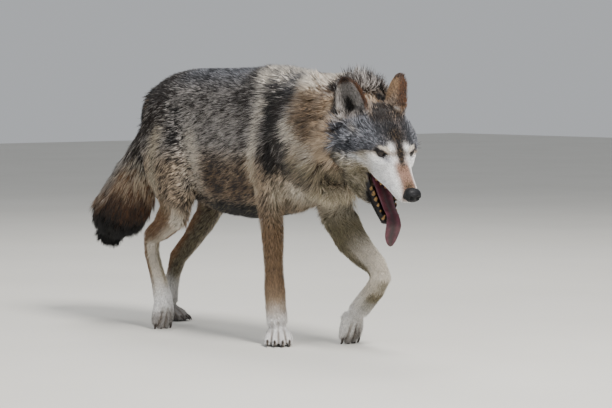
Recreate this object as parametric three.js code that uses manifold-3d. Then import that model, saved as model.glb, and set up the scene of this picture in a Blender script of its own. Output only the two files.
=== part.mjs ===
// A grey wolf, Canis lupus, at an easy walk, life size: head low, mouth open, tongue out.
//
// Millimetres. The body heads along +X, its left side is +Y, and +Z is up. The floor is z = 0.
// Every shape here is the outline of the coat, out to the tips of the hair. The flesh is one
// solid, joined from rounded lofts, and then parted by thin cuts into the pieces that a person
// would name. Eyes, nose and tongue are solids of their own.

import * as THREE from "three";
import { mergeVertices } from "three/addons/utils/BufferGeometryUtils.js";
import Module from "manifold-3d";

const wasm = await Module();
wasm.setup();

// ---------------------------------------------------------------- driving dimensions

const GAP = 0.3; // clearance of the thin cuts between touching pieces
const FORESHOULDER_Y = 84; // each foreleg's distance from the middle plane
const HIP_Y = 84; // each hind leg's distance from the middle plane
const PAW_LENGTH = 84; // from the wrist side of a forepaw to the tips of its toes
const PAW_HALF_WIDTH = 33;
const EYE_RADIUS = 12;
const EYE_SPACING = 78; // between the centres of the eyeballs
const EYE_OUTWARD = THREE.MathUtils.degToRad(40); // each eye's turn from straight ahead
const EAR_HALF_WIDTH = 42;

// The head has its own frame: the origin midway between the eyes, +X along the face, +Z up.
const HEAD_PLACE = new THREE.Vector3(383, -25, 485);
const HEAD_PITCH = THREE.MathUtils.degToRad(35); // nose down
const HEAD_YAW = THREE.MathUtils.degToRad(-10); // turned to its right

// ---------------------------------------------------------------- lofts

const X = new THREE.Vector3(1, 0, 0);
const Y = new THREE.Vector3(0, 1, 0);
const Z = new THREE.Vector3(0, 0, 1);

// One section of a loft: its centre, its half width to the side, and how far it reaches up and
// down from the centre. On a limb that runs downward, "up" is the front and "down" the back.
function section(x, y, z, half, up, down = up) {
  return [x, y, z, half, up, down];
}

// Catmull-Rom blend of four rows of numbers, at a fraction t of the way from the second to the third.
function blend(before, from, to, after, t) {
  return from.map((value, i) => {
    const slopeIn = (to[i] - before[i]) / 2;
    const slopeOut = (after[i] - value) / 2;
    const cubic = 2 * value - 2 * to[i] + slopeIn + slopeOut;
    const square = 3 * to[i] - 3 * value - 2 * slopeIn - slopeOut;
    return value + t * (slopeIn + t * (square + t * cubic));
  });
}

// The sections with extra ones blended in between, so that the loft runs smoothly.
function refine(sections, steps) {
  const rows = [];
  for (let i = 0; i < sections.length - 1; i++) {
    const before = sections[Math.max(i - 1, 0)];
    const after = sections[Math.min(i + 2, sections.length - 1)];
    for (let step = 0; step < steps; step++) {
      rows.push(blend(before, sections[i], sections[i + 1], after, step / steps));
    }
  }
  rows.push(sections.at(-1));
  return rows;
}

// A closed rounded solid along a row of sections. `side` is the direction that stays level
// across the loft, `square` the exponent of the superellipse, and `dome` how far each end
// bulges, as a share of the end's smallest half size, through rings at the shares `caps`.
function loft(
  sections,
  { side = Y, around = 12, steps = 1, square = 2, dome = 0.7, caps = [0.45, 0.85] } = {},
) {
  const rows = refine(sections, steps);
  const centres = rows.map((row) => new THREE.Vector3(row[0], row[1], row[2]));
  const rings = rows.map((row, i) => {
    const next = centres[Math.min(i + 1, rows.length - 1)];
    const along = next.clone().sub(centres[Math.max(i - 1, 0)]).normalize();
    const across = side.clone().addScaledVector(along, -side.dot(along)).normalize();
    return { centre: centres[i], along, across, over: along.clone().cross(across), row };
  });
  const ends = [rings[0], rings.at(-1)].map((ring, end) => {
    const [, , , half, up, down] = ring.row;
    const bulge = dome * Math.min(half, (up + down) / 2) * (end === 0 ? -1 : 1);
    const domeRings = caps.map((reach) => {
      const shrink = Math.sqrt(1 - reach * reach);
      const row = [0, 0, 0, half * shrink, up * shrink, down * shrink];
      return { ...ring, centre: ring.centre.clone().addScaledVector(ring.along, bulge * reach), row };
    });
    return { domeRings, pole: ring.centre.clone().addScaledVector(ring.along, bulge) };
  });
  const full = [...ends[0].domeRings.reverse(), ...rings, ...ends[1].domeRings];
  const points = [ends[0].pole];
  for (const { centre, across, over, row } of full) {
    const [, , , half, up, down] = row;
    for (let k = 0; k < around; k++) {
      const angle = (2 * Math.PI * k) / around;
      const out = Math.sign(Math.cos(angle)) * Math.abs(Math.cos(angle)) ** (2 / square);
      const rise = Math.sign(Math.sin(angle)) * Math.abs(Math.sin(angle)) ** (2 / square);
      const point = centre.clone().addScaledVector(across, half * out);
      points.push(point.addScaledVector(over, (rise > 0 ? up : down) * rise));
    }
  }
  points.push(ends[1].pole);
  const index = [];
  const at = (ring, k) => 1 + ring * around + (k % around);
  for (let k = 0; k < around; k++) {
    index.push(0, at(0, k + 1), at(0, k));
    index.push(points.length - 1, at(full.length - 1, k), at(full.length - 1, k + 1));
    for (let ring = 0; ring < full.length - 1; ring++) {
      index.push(at(ring, k), at(ring, k + 1), at(ring + 1, k + 1));
      index.push(at(ring, k), at(ring + 1, k + 1), at(ring + 1, k));
    }
  }
  return new THREE.BufferGeometry().setFromPoints(points).setIndex(index);
}

// An ellipsoid, turned about its own centre and then set in place.
function ellipsoid(centre, radii, turn = [0, 0, 0], around = 16) {
  const shape = new THREE.SphereGeometry(1, around, Math.round(around * 0.6));
  shape.scale(...radii);
  shape.applyMatrix4(new THREE.Matrix4().makeRotationFromEuler(new THREE.Euler(...turn)));
  return shape.translate(...centre);
}

// ---------------------------------------------------------------- solids, joins and cuts

function solid(geometry) {
  const bare = geometry.clone();
  bare.deleteAttribute("normal");
  bare.deleteAttribute("uv");
  const merged = mergeVertices(bare, 1e-4);
  const mesh = new wasm.Mesh({
    numProp: 3,
    vertProperties: Float32Array.from(merged.attributes.position.array),
    triVerts: Uint32Array.from(merged.index.array),
  });
  return new wasm.Manifold(mesh);
}

function joined(geometries) {
  return geometries.map(solid).reduce((whole, next) => whole.add(next));
}

function meshOf(name, shape, { colour, roughness, metalness = 0 }) {
  const { vertProperties, triVerts } = shape.getMesh();
  const geometry = new THREE.BufferGeometry();
  geometry.setAttribute("position", new THREE.BufferAttribute(Float32Array.from(vertProperties), 3));
  geometry.setIndex(new THREE.BufferAttribute(Uint32Array.from(triVerts), 1));
  geometry.computeVertexNormals();
  const material = new THREE.MeshStandardMaterial({ color: colour, roughness, metalness });
  const mesh = new THREE.Mesh(geometry, material);
  mesh.name = name;
  return mesh;
}

// ---------------------------------------------------------------- trunk, neck and tail

// From the rump to the breast. The back is nearly level and the belly rises to the flank.
function trunk() {
  const sections = [
    section(-572, 0, 572, 66, 66, 66),
    section(-540, 0, 562, 92, 98, 112),
    section(-486, 0, 554, 105, 124, 148),
    section(-420, 0, 545, 106, 141, 186),
    section(-340, 0, 535, 104, 152, 215),
    section(-250, 0, 525, 114, 162, 222),
    section(-160, 0, 520, 123, 167, 222),
    section(-80, 0, 520, 127, 173, 212),
    section(-10, 0, 520, 126, 166, 200),
    section(50, 0, 515, 120, 155, 186),
    section(96, 0, 500, 104, 150, 146),
  ];
  return loft(sections, { around: 18, square: 2.15, dome: 0.42, caps: [0.7] });
}

// The mane makes the neck as deep as the chest right up to the ears.
function neck() {
  const sections = [
    section(-70, 0, 525, 112, 160, 150),
    section(10, 0, 525, 122, 158, 152),
    section(80, 0, 530, 124, 142, 160),
    section(150, -4, 532, 121, 139, 168),
    section(206, -10, 524, 115, 134, 158),
    section(236, -14, 502, 102, 100, 118),
  ];
  return loft(sections, { around: 18, square: 2.1, dome: 0.16, caps: [0.7] });
}

// The brush hangs down behind, thickest below its middle.
function tail() {
  const sections = [
    section(-548, 0, 560, 34, 34),
    section(-590, 0, 522, 37, 40),
    section(-630, 0, 470, 45, 47),
    section(-674, 0, 412, 56, 58),
    section(-718, 0, 352, 66, 69),
    section(-760, 0, 300, 70, 74),
    section(-790, 0, 264, 61, 60),
    section(-808, 0, 239, 38, 38),
  ];
  return loft(sections, { around: 12, dome: 0.8, caps: [0.7] });
}

// ---------------------------------------------------------------- legs

// Shoulder and upper arm, lying flat against the chest. `front` slides the elbow forward.
function shoulder(side, front) {
  const y = side * FORESHOULDER_Y;
  const sections = [
    section(-62 + front * 0.2, y * 0.86, 600, 34, 54, 50),
    section(-30 + front * 0.4, y * 0.98, 540, 42, 68, 64),
    section(2 + front * 0.7, y, 476, 44, 66, 66),
    section(-6 + front, y, 414, 40, 52, 54),
  ];
  return loft(sections, { around: 12, dome: 0.8, caps: [0.7] });
}

// The right foreleg stands straight under the shoulder.
function rightForeleg() {
  const y = -FORESHOULDER_Y;
  const sections = [
    section(-8, y, 440, 42, 54, 56),
    section(-12, y, 380, 38, 44, 47),
    section(-9, y + 1, 318, 33, 34, 36),
    section(-5, y + 2, 250, 28, 28, 29),
    section(-2, y + 3, 180, 25.5, 25, 26),
    section(0, y + 4, 134, 28.5, 27, 29),
    section(3, y + 4, 96, 28.5, 25, 26),
    section(8, y + 4, 56, 30, 26, 24),
  ];
  return loft(sections, { around: 10, dome: 0.8, caps: [0.7] });
}

// The left foreleg swings through: elbow forward, wrist bent, toes just brushing the floor.
function leftForeleg() {
  const y = FORESHOULDER_Y;
  const sections = [
    section(14, y, 450, 42, 56, 58),
    section(28, y, 392, 41, 52, 54),
    section(52, y - 2, 326, 39, 52, 62),
    section(104, y - 6, 266, 35, 44, 54),
    section(158, y - 11, 228, 30, 37, 41),
    section(206, y - 14, 199, 28, 32, 29),
    section(224, y - 14, 172, 29, 29, 27),
    section(204, y - 14, 142, 29, 26, 25),
    section(172, y - 14, 112, 31, 25, 25),
    section(144, y - 14, 86, 32, 25, 24),
  ];
  return loft(sections, { around: 10, dome: 0.8, caps: [0.7] });
}

// The right hind leg has just left the floor: thigh forward, metatarsus hanging, toes down.
function rightHindLeg() {
  const y = -HIP_Y;
  const sections = [
    section(-478, y * 0.8, 575, 44, 88, 78),
    section(-448, y * 0.98, 500, 52, 104, 100),
    section(-410, y * 1.06, 420, 50, 88, 94),
    section(-390, y * 1.08, 355, 42, 68, 74),
    section(-404, y * 1.06, 308, 34, 56, 56),
    section(-456, y * 1.02, 266, 26, 33, 36),
    section(-506, y * 0.98, 240, 23, 26, 30),
    section(-512, y * 0.96, 200, 20, 22, 24),
    section(-494, y * 0.95, 152, 21, 20, 21),
    section(-474, y * 0.95, 108, 25, 21, 22),
    section(-462, y * 0.95, 76, 28, 21, 21),
  ];
  return loft(sections, { around: 12, dome: 0.8, caps: [0.7] });
}

// The left hind leg stands far back, its sole on the floor.
function leftHindLeg() {
  const y = HIP_Y;
  const sections = [
    section(-478, y * 0.8, 575, 44, 86, 78),
    section(-458, y * 0.98, 500, 52, 94, 96),
    section(-442, y * 1.04, 420, 47, 70, 82),
    section(-446, y * 1.04, 352, 39, 50, 58),
    section(-486, y, 290, 30, 37, 40),
    section(-548, y * 0.94, 222, 25, 29, 29),
    section(-602, y * 0.89, 172, 23, 25, 29),
    section(-620, y * 0.87, 128, 20, 20, 23),
    section(-632, y * 0.85, 88, 23, 21, 22),
    section(-640, y * 0.84, 52, 27, 22, 21),
  ];
  return loft(sections, { around: 12, dome: 0.8, caps: [0.7] });
}

// One paw in its own frame: toes along +X, the sole at z = 0. Four arched toes with their claws
// spread from the knuckles, and a broad pad lies behind them.
function paw({ length, halfWidth }) {
  const toes = [-0.72, -0.26, 0.26, 0.72].flatMap((spread) => {
    const outer = Math.abs(spread) > 0.5;
    const reach = outer ? 0.84 : 1;
    const y = spread * halfWidth;
    const tip = length * reach;
    const toe = [
      section(tip - 56, y * 0.75, 33, 12.5, 14, 18),
      section(tip - 26, y * 1.05, 23, 12, 12.5, 17),
      section(tip - 8, y * 1.12, 14, 9.5, 9, 12),
    ];
    const claw = new THREE.ConeGeometry(3.8, 20, 4).rotateZ(-Math.PI / 2).rotateY(0.45);
    claw.translate(tip, y * 1.14, 12);
    return [loft(toe, { around: 6, dome: 0.9, caps: [0.7] }), claw];
  });
  const pad = ellipsoid([length * 0.24, 0, 15], [24, halfWidth * 0.72, 17], [0, 0, 0], 8);
  const knuckles = ellipsoid([length * 0.2, 0, 34], [27, halfWidth * 0.88, 20], [0, 0.3, 0], 9);
  return [...toes, pad, knuckles];
}

// A paw pitched and turned about its knuckles, then set in the body's frame.
function placedPaw(size, knuckle, pitch, yaw) {
  const turn = new THREE.Euler(0, THREE.MathUtils.degToRad(pitch), THREE.MathUtils.degToRad(yaw), "ZYX");
  const place = new THREE.Matrix4()
    .makeTranslation(...knuckle)
    .multiply(new THREE.Matrix4().makeRotationFromEuler(turn))
    .multiply(new THREE.Matrix4().makeTranslation(-size.length * 0.2, 0, -34));
  return paw(size).map((shape) => shape.applyMatrix4(place));
}

// ---------------------------------------------------------------- head, in the head's own frame

// Brain case, brow and cheeks, with the ruff of the cheeks at the back.
function skull() {
  const sections = [
    section(-150, 0, -30, 82, 58, 84),
    section(-112, 0, -22, 93, 75, 88),
    section(-74, 0, -16, 96, 70, 80),
    section(-44, 0, -14, 89, 60, 72),
    section(-18, 0, -16, 74, 49, 65),
    section(4, 0, -22, 58, 39, 56),
    section(22, 0, -32, 45, 35, 44),
  ];
  return loft(sections, { around: 20, square: 2.1, dome: 0.3 });
}

// The muzzle, square below and sloping gently to the nose.
function muzzle() {
  const sections = [
    section(-20, 0, -42, 50, 54, 44),
    section(16, 0, -44, 44, 47, 37),
    section(54, 0, -50, 34, 38, 25),
    section(90, 0, -53, 29, 28, 18),
    section(112, 0, -54, 25, 22, 14),
  ];
  return loft(sections, { around: 14, square: 2.5, dome: 0.35, caps: [0.7] });
}

// Side hair of the cheeks, spreading outward and back below each ear.
function cheek(side) {
  return ellipsoid([-92, side * 52, -54], [62, 56, 56], [0, 0.35, side * 0.35], 12);
}

// Ridge of bone and hair over each eye.
function brow(side) {
  return ellipsoid([-10, side * 31, 12], [25, 19, 9], [0, 0.4, side * 0.35], 10);
}

// The hollow that each eye looks out of, facing forward and outward.
function orbit(side) {
  return ellipsoid([16, side * 54, -1], [18, 26, 14], [0, 0, side * EYE_OUTWARD], 12);
}

// Loose hair of the throat, filling the angle behind and below the jaw.
function throat() {
  return ellipsoid([-66, 0, -120], [76, 64, 48], [0, 0.5, 0], 12);
}

// Lower jaw, dropped about thirty degrees, hollowed along the top for the tongue.
function jaw() {
  const outer = [
    section(-78, 0, -80, 54, 34, 38),
    section(-34, 0, -100, 48, 18, 34),
    section(8, 0, -119, 38, 14, 27),
    section(46, 0, -138, 29, 12, 20),
    section(74, 0, -152, 22, 10, 14),
  ];
  return loft(outer, { around: 14, square: 2.3, dome: 0.5 });
}

function jawTrough() {
  const inner = [
    section(-46, 0, -84, 30, 12, 12),
    section(8, 0, -108, 26, 12, 11),
    section(46, 0, -127, 19, 12, 9),
    section(70, 0, -139, 13, 12, 7),
  ];
  return loft(inner, { around: 10, square: 2.4, dome: 0.5, caps: [0.7] });
}

function tongue(grow) {
  const sections = [
    section(-34, 0, -91, 20 + grow, 7 + grow),
    section(12, 0, -108, 20 + grow, 7 + grow),
    section(50, -1, -123, 16 + grow, 6 + grow),
    section(80, -3, -129, 15 + grow, 6 + grow),
    section(97, -4, -144, 20 + grow, 5.5 + grow),
    section(105, -6, -168, 19 + grow, 5 + grow),
    section(109, -7, -190, 12 + grow, 4 + grow),
  ];
  return loft(sections, { around: 10, square: 2.2, dome: 0.7, caps: [0.7] });
}

// Pointed teeth along the lower jaw: the canines and four cheek teeth on each side.
function lowerTeeth() {
  const from = new THREE.Vector3(3, 31.5, -102);
  const to = new THREE.Vector3(70, 19, -137);
  return [-1, 1].flatMap((side) =>
    [0, 0.22, 0.45, 0.66, 1].map((share) => {
      const place = from.clone().lerp(to, share);
      const tall = share === 1 ? 24 : 13;
      const wide = share === 1 ? 4.6 : 4.2;
      const tooth = new THREE.ConeGeometry(wide, tall, 6).rotateX(Math.PI / 2);
      tooth.translate(0, 0, tall * 0.3).rotateY(-0.45);
      return tooth.translate(place.x, side * place.y, place.z);
    }),
  );
}

function upperCanines() {
  return [-1, 1].map((side) => {
    const tooth = new THREE.ConeGeometry(5, 34, 6).rotateX(-Math.PI / 2);
    return tooth.translate(92, side * 18, -72);
  });
}

// The pad of the nose sits on the front of the muzzle, wider above than below.
function nose(grow) {
  const sections = [
    section(106, 0, -38, 16 + grow, 11 + grow, 13 + grow),
    section(116, 0, -38, 21 + grow, 16 + grow, 16 + grow),
    section(126, 0, -40, 18.5 + grow, 13 + grow, 15 + grow),
  ];
  return loft(sections, { around: 12, steps: 2, square: 2.2, dome: 0.55, caps: [0.6] });
}

function eye(side, grow) {
  const radius = EYE_RADIUS + grow;
  return ellipsoid([-2, (side * EYE_SPACING) / 2, 0], [radius, radius, radius], [0, 0, 0], 12);
}

// One ear: a rounded cone, hollowed from the side that it opens to. `turn` is how far the
// opening is turned outward from straight ahead.
function ear(side, { base, tip, turn }) {
  const foot = new THREE.Vector3(base[0], side * base[1], base[2]);
  const point = new THREE.Vector3(tip[0], side * tip[1], tip[2]);
  const length = point.distanceTo(foot);
  const axis = point.clone().sub(foot).normalize();
  const facing = X.clone().applyAxisAngle(Z, side * THREE.MathUtils.degToRad(turn));
  const opening = facing.addScaledVector(axis, -facing.dot(axis)).normalize();
  const width = opening.clone().cross(axis);
  const shares = [-0.12, 0.1, 0.32, 0.55, 0.76, 0.92];
  const widths = [0.86, 1.02, 1.04, 0.94, 0.74, 0.42];
  const station = (share, half, toFront, toBack) => {
    const place = foot.clone().addScaledVector(axis, share * length);
    return section(place.x, place.y, place.z, half, toFront, toBack);
  };
  const outer = shares.map((share, i) => {
    const half = EAR_HALF_WIDTH * widths[i];
    return station(share, half, 5 + half * 0.1, 6 + half * 0.55);
  });
  const hollow = shares.slice(1).map((share, i) => {
    const half = Math.max(EAR_HALF_WIDTH * widths[i + 1] - 6.5, 1.5);
    return station(share * 0.97, half, 26, half * 0.62);
  });
  const shell = solid(loft(outer, { side: width, around: 14, dome: 0.8, caps: [0.6] }));
  return shell.subtract(solid(loft(hollow, { side: width, around: 10, dome: 0.6, caps: [0.6] })));
}

// ---------------------------------------------------------------- the whole body, then its pieces

const headPlace = new THREE.Matrix4()
  .makeTranslation(HEAD_PLACE)
  .multiply(new THREE.Matrix4().makeRotationZ(HEAD_YAW))
  .multiply(new THREE.Matrix4().makeRotationY(HEAD_PITCH));
const inHead = (geometry) => geometry.applyMatrix4(headPlace);
const headSolid = (shape) => shape.transform(headPlace.toArray());

const RIGHT_EAR = { base: [-108, 69, 19], tip: [-172, 91, 95], turn: 46 };
const LEFT_EAR = { base: [-108, 50, 24], tip: [-174, 68, 104], turn: 82 };
const FOREPAW = { length: PAW_LENGTH, halfWidth: PAW_HALF_WIDTH };
const HINDPAW = { length: PAW_LENGTH * 0.94, halfWidth: PAW_HALF_WIDTH * 0.92 };

const head = joined([skull(), muzzle(), cheek(-1), cheek(1), throat(), brow(-1), brow(1)].map(inHead));
const orbits = joined([orbit(-1), orbit(1)].map(inHead));
const mandible = joined([inHead(jaw())]).subtract(solid(inHead(jawTrough())));
const teeth = joined([...lowerTeeth(), ...upperCanines()].map(inHead));
const torso = joined([
  trunk(),
  neck(),
  tail(),
  shoulder(-1, 0),
  shoulder(1, 26),
  rightForeleg(),
  leftForeleg(),
  rightHindLeg(),
  leftHindLeg(),
  ...placedPaw(FOREPAW, [12, -FORESHOULDER_Y + 4, 31], 0, -38),
  ...placedPaw(FOREPAW, [126, FORESHOULDER_Y - 14, 66], 84, 0),
  ...placedPaw(HINDPAW, [-457, -HIP_Y * 0.95, 62], 78, 0),
  ...placedPaw(HINDPAW, [-638, HIP_Y * 0.84, 31], 0, 4),
]);

const ROOM = 3000; // larger than the animal
const underFloor = solid(new THREE.BoxGeometry(ROOM, ROOM, ROOM).translate(0, 0, -ROOM / 2));
let body = torso
  .add(head.subtract(orbits))
  .add(mandible)
  .add(headSolid(ear(-1, RIGHT_EAR)))
  .add(headSolid(ear(1, LEFT_EAR)))
  .add(teeth)
  .subtract(underFloor)
  .subtract(solid(inHead(nose(GAP))))
  .subtract(solid(inHead(tongue(GAP))))
  .subtract(solid(inHead(eye(-1, GAP))))
  .subtract(solid(inHead(eye(1, GAP))));

// ---------------------------------------------------------------- parting the flesh

// A box that marks off one piece, by its middle, its size and its turns about Z and then Y. As a
// cutter it is grown by the gap, so that what it takes and what it leaves stay apart.
function block(centre, size, { pitch = 0, yaw = 0, place = new THREE.Matrix4() } = {}) {
  const turn = new THREE.Euler(0, THREE.MathUtils.degToRad(pitch), THREE.MathUtils.degToRad(yaw), "ZYX");
  const matrix = new THREE.Matrix4().makeRotationFromEuler(turn).setPosition(...centre).premultiply(place);
  return (grow) => {
    const [length, width, height] = size.map((edge) => edge + 2 * grow);
    return solid(new THREE.BoxGeometry(length, width, height).applyMatrix4(matrix));
  };
}

// Takes the part of the body inside a block off the rest.
function part(region) {
  const piece = body.intersect(region(0));
  body = body.subtract(region(GAP));
  return piece;
}

// The block around one ear, from just above its root.
function earBlock(side, { base, tip }) {
  const foot = new THREE.Vector3(base[0], side * base[1], base[2]);
  const point = new THREE.Vector3(tip[0], side * tip[1], tip[2]);
  const axis = point.clone().sub(foot).normalize();
  const level = Y.clone().addScaledVector(axis, -axis.y).normalize();
  const basis = new THREE.Matrix4().makeBasis(axis, level, axis.clone().cross(level));
  const middle = foot.clone().addScaledVector(axis, 114);
  return block([0, 0, 0], [120, 92, 64], { place: headPlace.clone().multiply(basis.setPosition(middle)) });
}

const ELBOW_Z = 304; // below the belly, where the forelegs leave the chest
const STIFLE_Z = 304; // where the hind legs leave the hips
const LEG_WIDTH = 120;
const LEG_INNER_Y = 30;

// The block around one leg, between two heights and two stations along the body.
function legBlock(side, [back, front], [low, high]) {
  const middle = [(back + front) / 2, side * (LEG_INNER_Y + LEG_WIDTH / 2), (low + high) / 2];
  return block(middle, [front - back, LEG_WIDTH, high - low]);
}

const FUR = { roughness: 0.92 };
const coat = {
  back: { ...FUR, colour: 0x6f665b },
  mane: { ...FUR, colour: 0x8d7a62 },
  face: { ...FUR, colour: 0x8b8a86 },
  pale: { ...FUR, colour: 0xc9bda7 },
  tan: { ...FUR, colour: 0xa98a67 },
  brush: { ...FUR, colour: 0x5d4a38 },
};
const UNDER = -20; // below the floor

const pieces = new THREE.Group();
const add = (name, shape, look) => pieces.add(meshOf(name, shape, look));

add("ear_right", part(earBlock(-1, RIGHT_EAR)), coat.tan);
add("ear_left", part(earBlock(1, LEFT_EAR)), coat.tan);
add("lower_jaw", part(block([52, 0, -153], [170, 150, 100], { pitch: 12, place: headPlace })), coat.pale);
add("forepaw_right", part(legBlock(-1, [-70, 130], [UNDER, 112])), coat.pale);
add("forepaw_left", part(legBlock(1, [60, 290], [UNDER, 138])), coat.pale);
add("foreleg_right", part(legBlock(-1, [-70, 70], [112 + GAP, ELBOW_Z])), coat.tan);
add("foreleg_left", part(legBlock(1, [-60, 290], [138 + GAP, ELBOW_Z])), coat.pale);
add("hind_paw_right", part(legBlock(-1, [-560, -370], [UNDER, 120])), coat.pale);
add("hind_paw_left", part(legBlock(1, [-720, -520], [UNDER, 92])), coat.pale);
add("hind_leg_right", part(legBlock(-1, [-570, -300], [120 + GAP, STIFLE_Z])), coat.tan);
add("hind_leg_left", part(legBlock(1, [-656, -300], [92 + GAP, STIFLE_Z])), coat.pale);
add("tail", part(block([-762, 0, 314], [450, 156, 176], { pitch: 128 })), coat.brush);
add("head", part(block([422, 20, 500], [330, 320, 460], { yaw: -10 })), coat.face);
add("neck", part(block([242, 0, 520], [300, 320, 420], { pitch: -14 })), coat.mane);
add("chest", part(block([30, 0, 520], [390, 320, 500])), coat.back);
add("belly", part(block([-250, 0, 520], [170, 320, 500])), coat.back);
add("hips", body, coat.back);
add("nose", solid(inHead(nose(0))), { colour: 0x1b1b1e, roughness: 0.45 });
add("tongue", solid(inHead(tongue(0))), { colour: 0x8a3b4c, roughness: 0.5 });
add("eye_right", solid(inHead(eye(-1, 0))), { colour: 0x6b4a1e, roughness: 0.12 });
add("eye_left", solid(inHead(eye(1, 0))), { colour: 0x6b4a1e, roughness: 0.12 });

// The origin is under the middle of the animal, on the floor.
const extent = new THREE.Box3().setFromObject(pieces);
const middle = extent.getCenter(new THREE.Vector3());
pieces.position.set(-middle.x, -middle.y, -extent.min.z);

export default pieces;
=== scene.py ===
# %% [markdown]
# # A grey wolf at a walk
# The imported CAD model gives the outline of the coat, out to the tips of the hair. This lesson
# puts an animal inside that outline: one seamless skin, the coat over it as solid tufts, and
# the eyes, nose, mouth and claws as pieces of their own. Everything is in metres in the frame
# of the CAD model: +X is the way the body heads, +Y is its left side, and the floor is z = 0.

# %% Load the frame
import math

import bpy
import numpy as np
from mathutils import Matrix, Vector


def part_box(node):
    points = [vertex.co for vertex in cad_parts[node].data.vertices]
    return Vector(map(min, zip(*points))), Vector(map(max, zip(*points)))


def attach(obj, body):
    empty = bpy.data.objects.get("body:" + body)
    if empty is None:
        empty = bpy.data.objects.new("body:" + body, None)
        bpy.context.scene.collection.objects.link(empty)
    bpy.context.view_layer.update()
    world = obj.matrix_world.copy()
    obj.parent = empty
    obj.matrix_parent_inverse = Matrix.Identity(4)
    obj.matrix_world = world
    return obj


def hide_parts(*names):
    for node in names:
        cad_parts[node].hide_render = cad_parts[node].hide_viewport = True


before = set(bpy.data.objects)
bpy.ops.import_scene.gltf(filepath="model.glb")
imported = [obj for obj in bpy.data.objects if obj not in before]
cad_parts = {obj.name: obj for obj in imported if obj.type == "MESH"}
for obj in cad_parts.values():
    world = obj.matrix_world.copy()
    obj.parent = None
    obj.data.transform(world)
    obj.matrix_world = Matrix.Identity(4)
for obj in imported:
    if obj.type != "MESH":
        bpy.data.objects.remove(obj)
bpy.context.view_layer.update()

MM = 0.001
PAWS = ["forepaw_right", "forepaw_left", "hind_paw_right", "hind_paw_left"]
LEGS = ["foreleg_right", "foreleg_left", "hind_leg_right", "hind_leg_left"]
TRUNK = ["head", "lower_jaw", "ear_right", "ear_left", "neck", "chest", "belly", "hips", "tail"]
FLESH = [*TRUNK, *LEGS, *PAWS]
print("nodes in the frame:", sorted(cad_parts))

# %% [markdown]
# ## Camera, floor and light
# The camera stands low, ahead of the wolf on its right side. Its place is worked out from the
# angle round the animal, the angle above the floor and the distance. Soft light comes from
# large area lamps and a pale sky, so that the coat shows its relief without hard shadows.

# %% Camera
AZIMUTH = math.radians(50)  # round from the animal's right side towards its nose
ELEVATION = math.radians(3.2)
DISTANCE = 6.0
EYES_LAID = np.array([0.5744, -0.0224, 0.4861])  # midway between the eyes, as laid out
LOOK_LAID = np.array([0.1883, 0.0266, 0.3437])
SENSOR = 36.0
FOCAL = 141.2  # mm, a long lens


def middle_of(node):
    low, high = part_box(node)
    return (np.array(low) + np.array(high)) / 2


# Places on the body are laid out from the eyes, so that they follow the frame if it is moved.
LAYOUT = (middle_of("eye_right") + middle_of("eye_left")) / 2 - EYES_LAID
LOOK_AT = LOOK_LAID + LAYOUT


def towards(azimuth, elevation):
    """A unit vector: the azimuth turns from -Y towards +X, and the elevation lifts it."""
    level = math.cos(elevation)
    return np.array([math.sin(azimuth) * level, -math.cos(azimuth) * level, math.sin(elevation)])


def aim(obj, place, target):
    """Puts an object at a place with its -Z axis towards the target and its Y axis upward."""
    from mathutils import Vector

    obj.location = Vector(place)
    obj.rotation_euler = (Vector(target) - Vector(place)).to_track_quat("-Z", "Y").to_euler()


camera_data = bpy.data.cameras.new("camera")
camera_data.lens = FOCAL
camera_data.sensor_width = SENSOR
camera = bpy.data.objects.new("camera", camera_data)
bpy.context.collection.objects.link(camera)
aim(camera, LOOK_AT + DISTANCE * towards(AZIMUTH, ELEVATION), LOOK_AT)
bpy.context.scene.camera = camera
print("camera at", np.round(np.array(camera.location), 3))


# %% [markdown]
# ## Shader maths
# Procedural materials are sums and products of patterns. This small class wraps a socket, so
# that `0.5 + 0.2 * pattern` adds the Math nodes by itself. Colours are blended by Mix nodes.

# %% Sockets with operators
class Wire:
    """A socket of a node tree; + - * / on wires and numbers add Math nodes."""

    def __init__(self, tree, socket):
        self.tree = tree
        self.socket = socket

    def math(self, operation, *others):
        values = {i: other for i, other in enumerate((self, *others))}
        return self.tree.node("ShaderNodeMath", {"operation": operation}, values)

    def __add__(self, other):
        return self.math("ADD", other)

    __radd__ = __add__

    def __mul__(self, other):
        return self.math("MULTIPLY", other)

    __rmul__ = __mul__

    def __sub__(self, other):
        return self.math("SUBTRACT", other)

    def __rsub__(self, other):
        return (self * -1.0) + other


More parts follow.
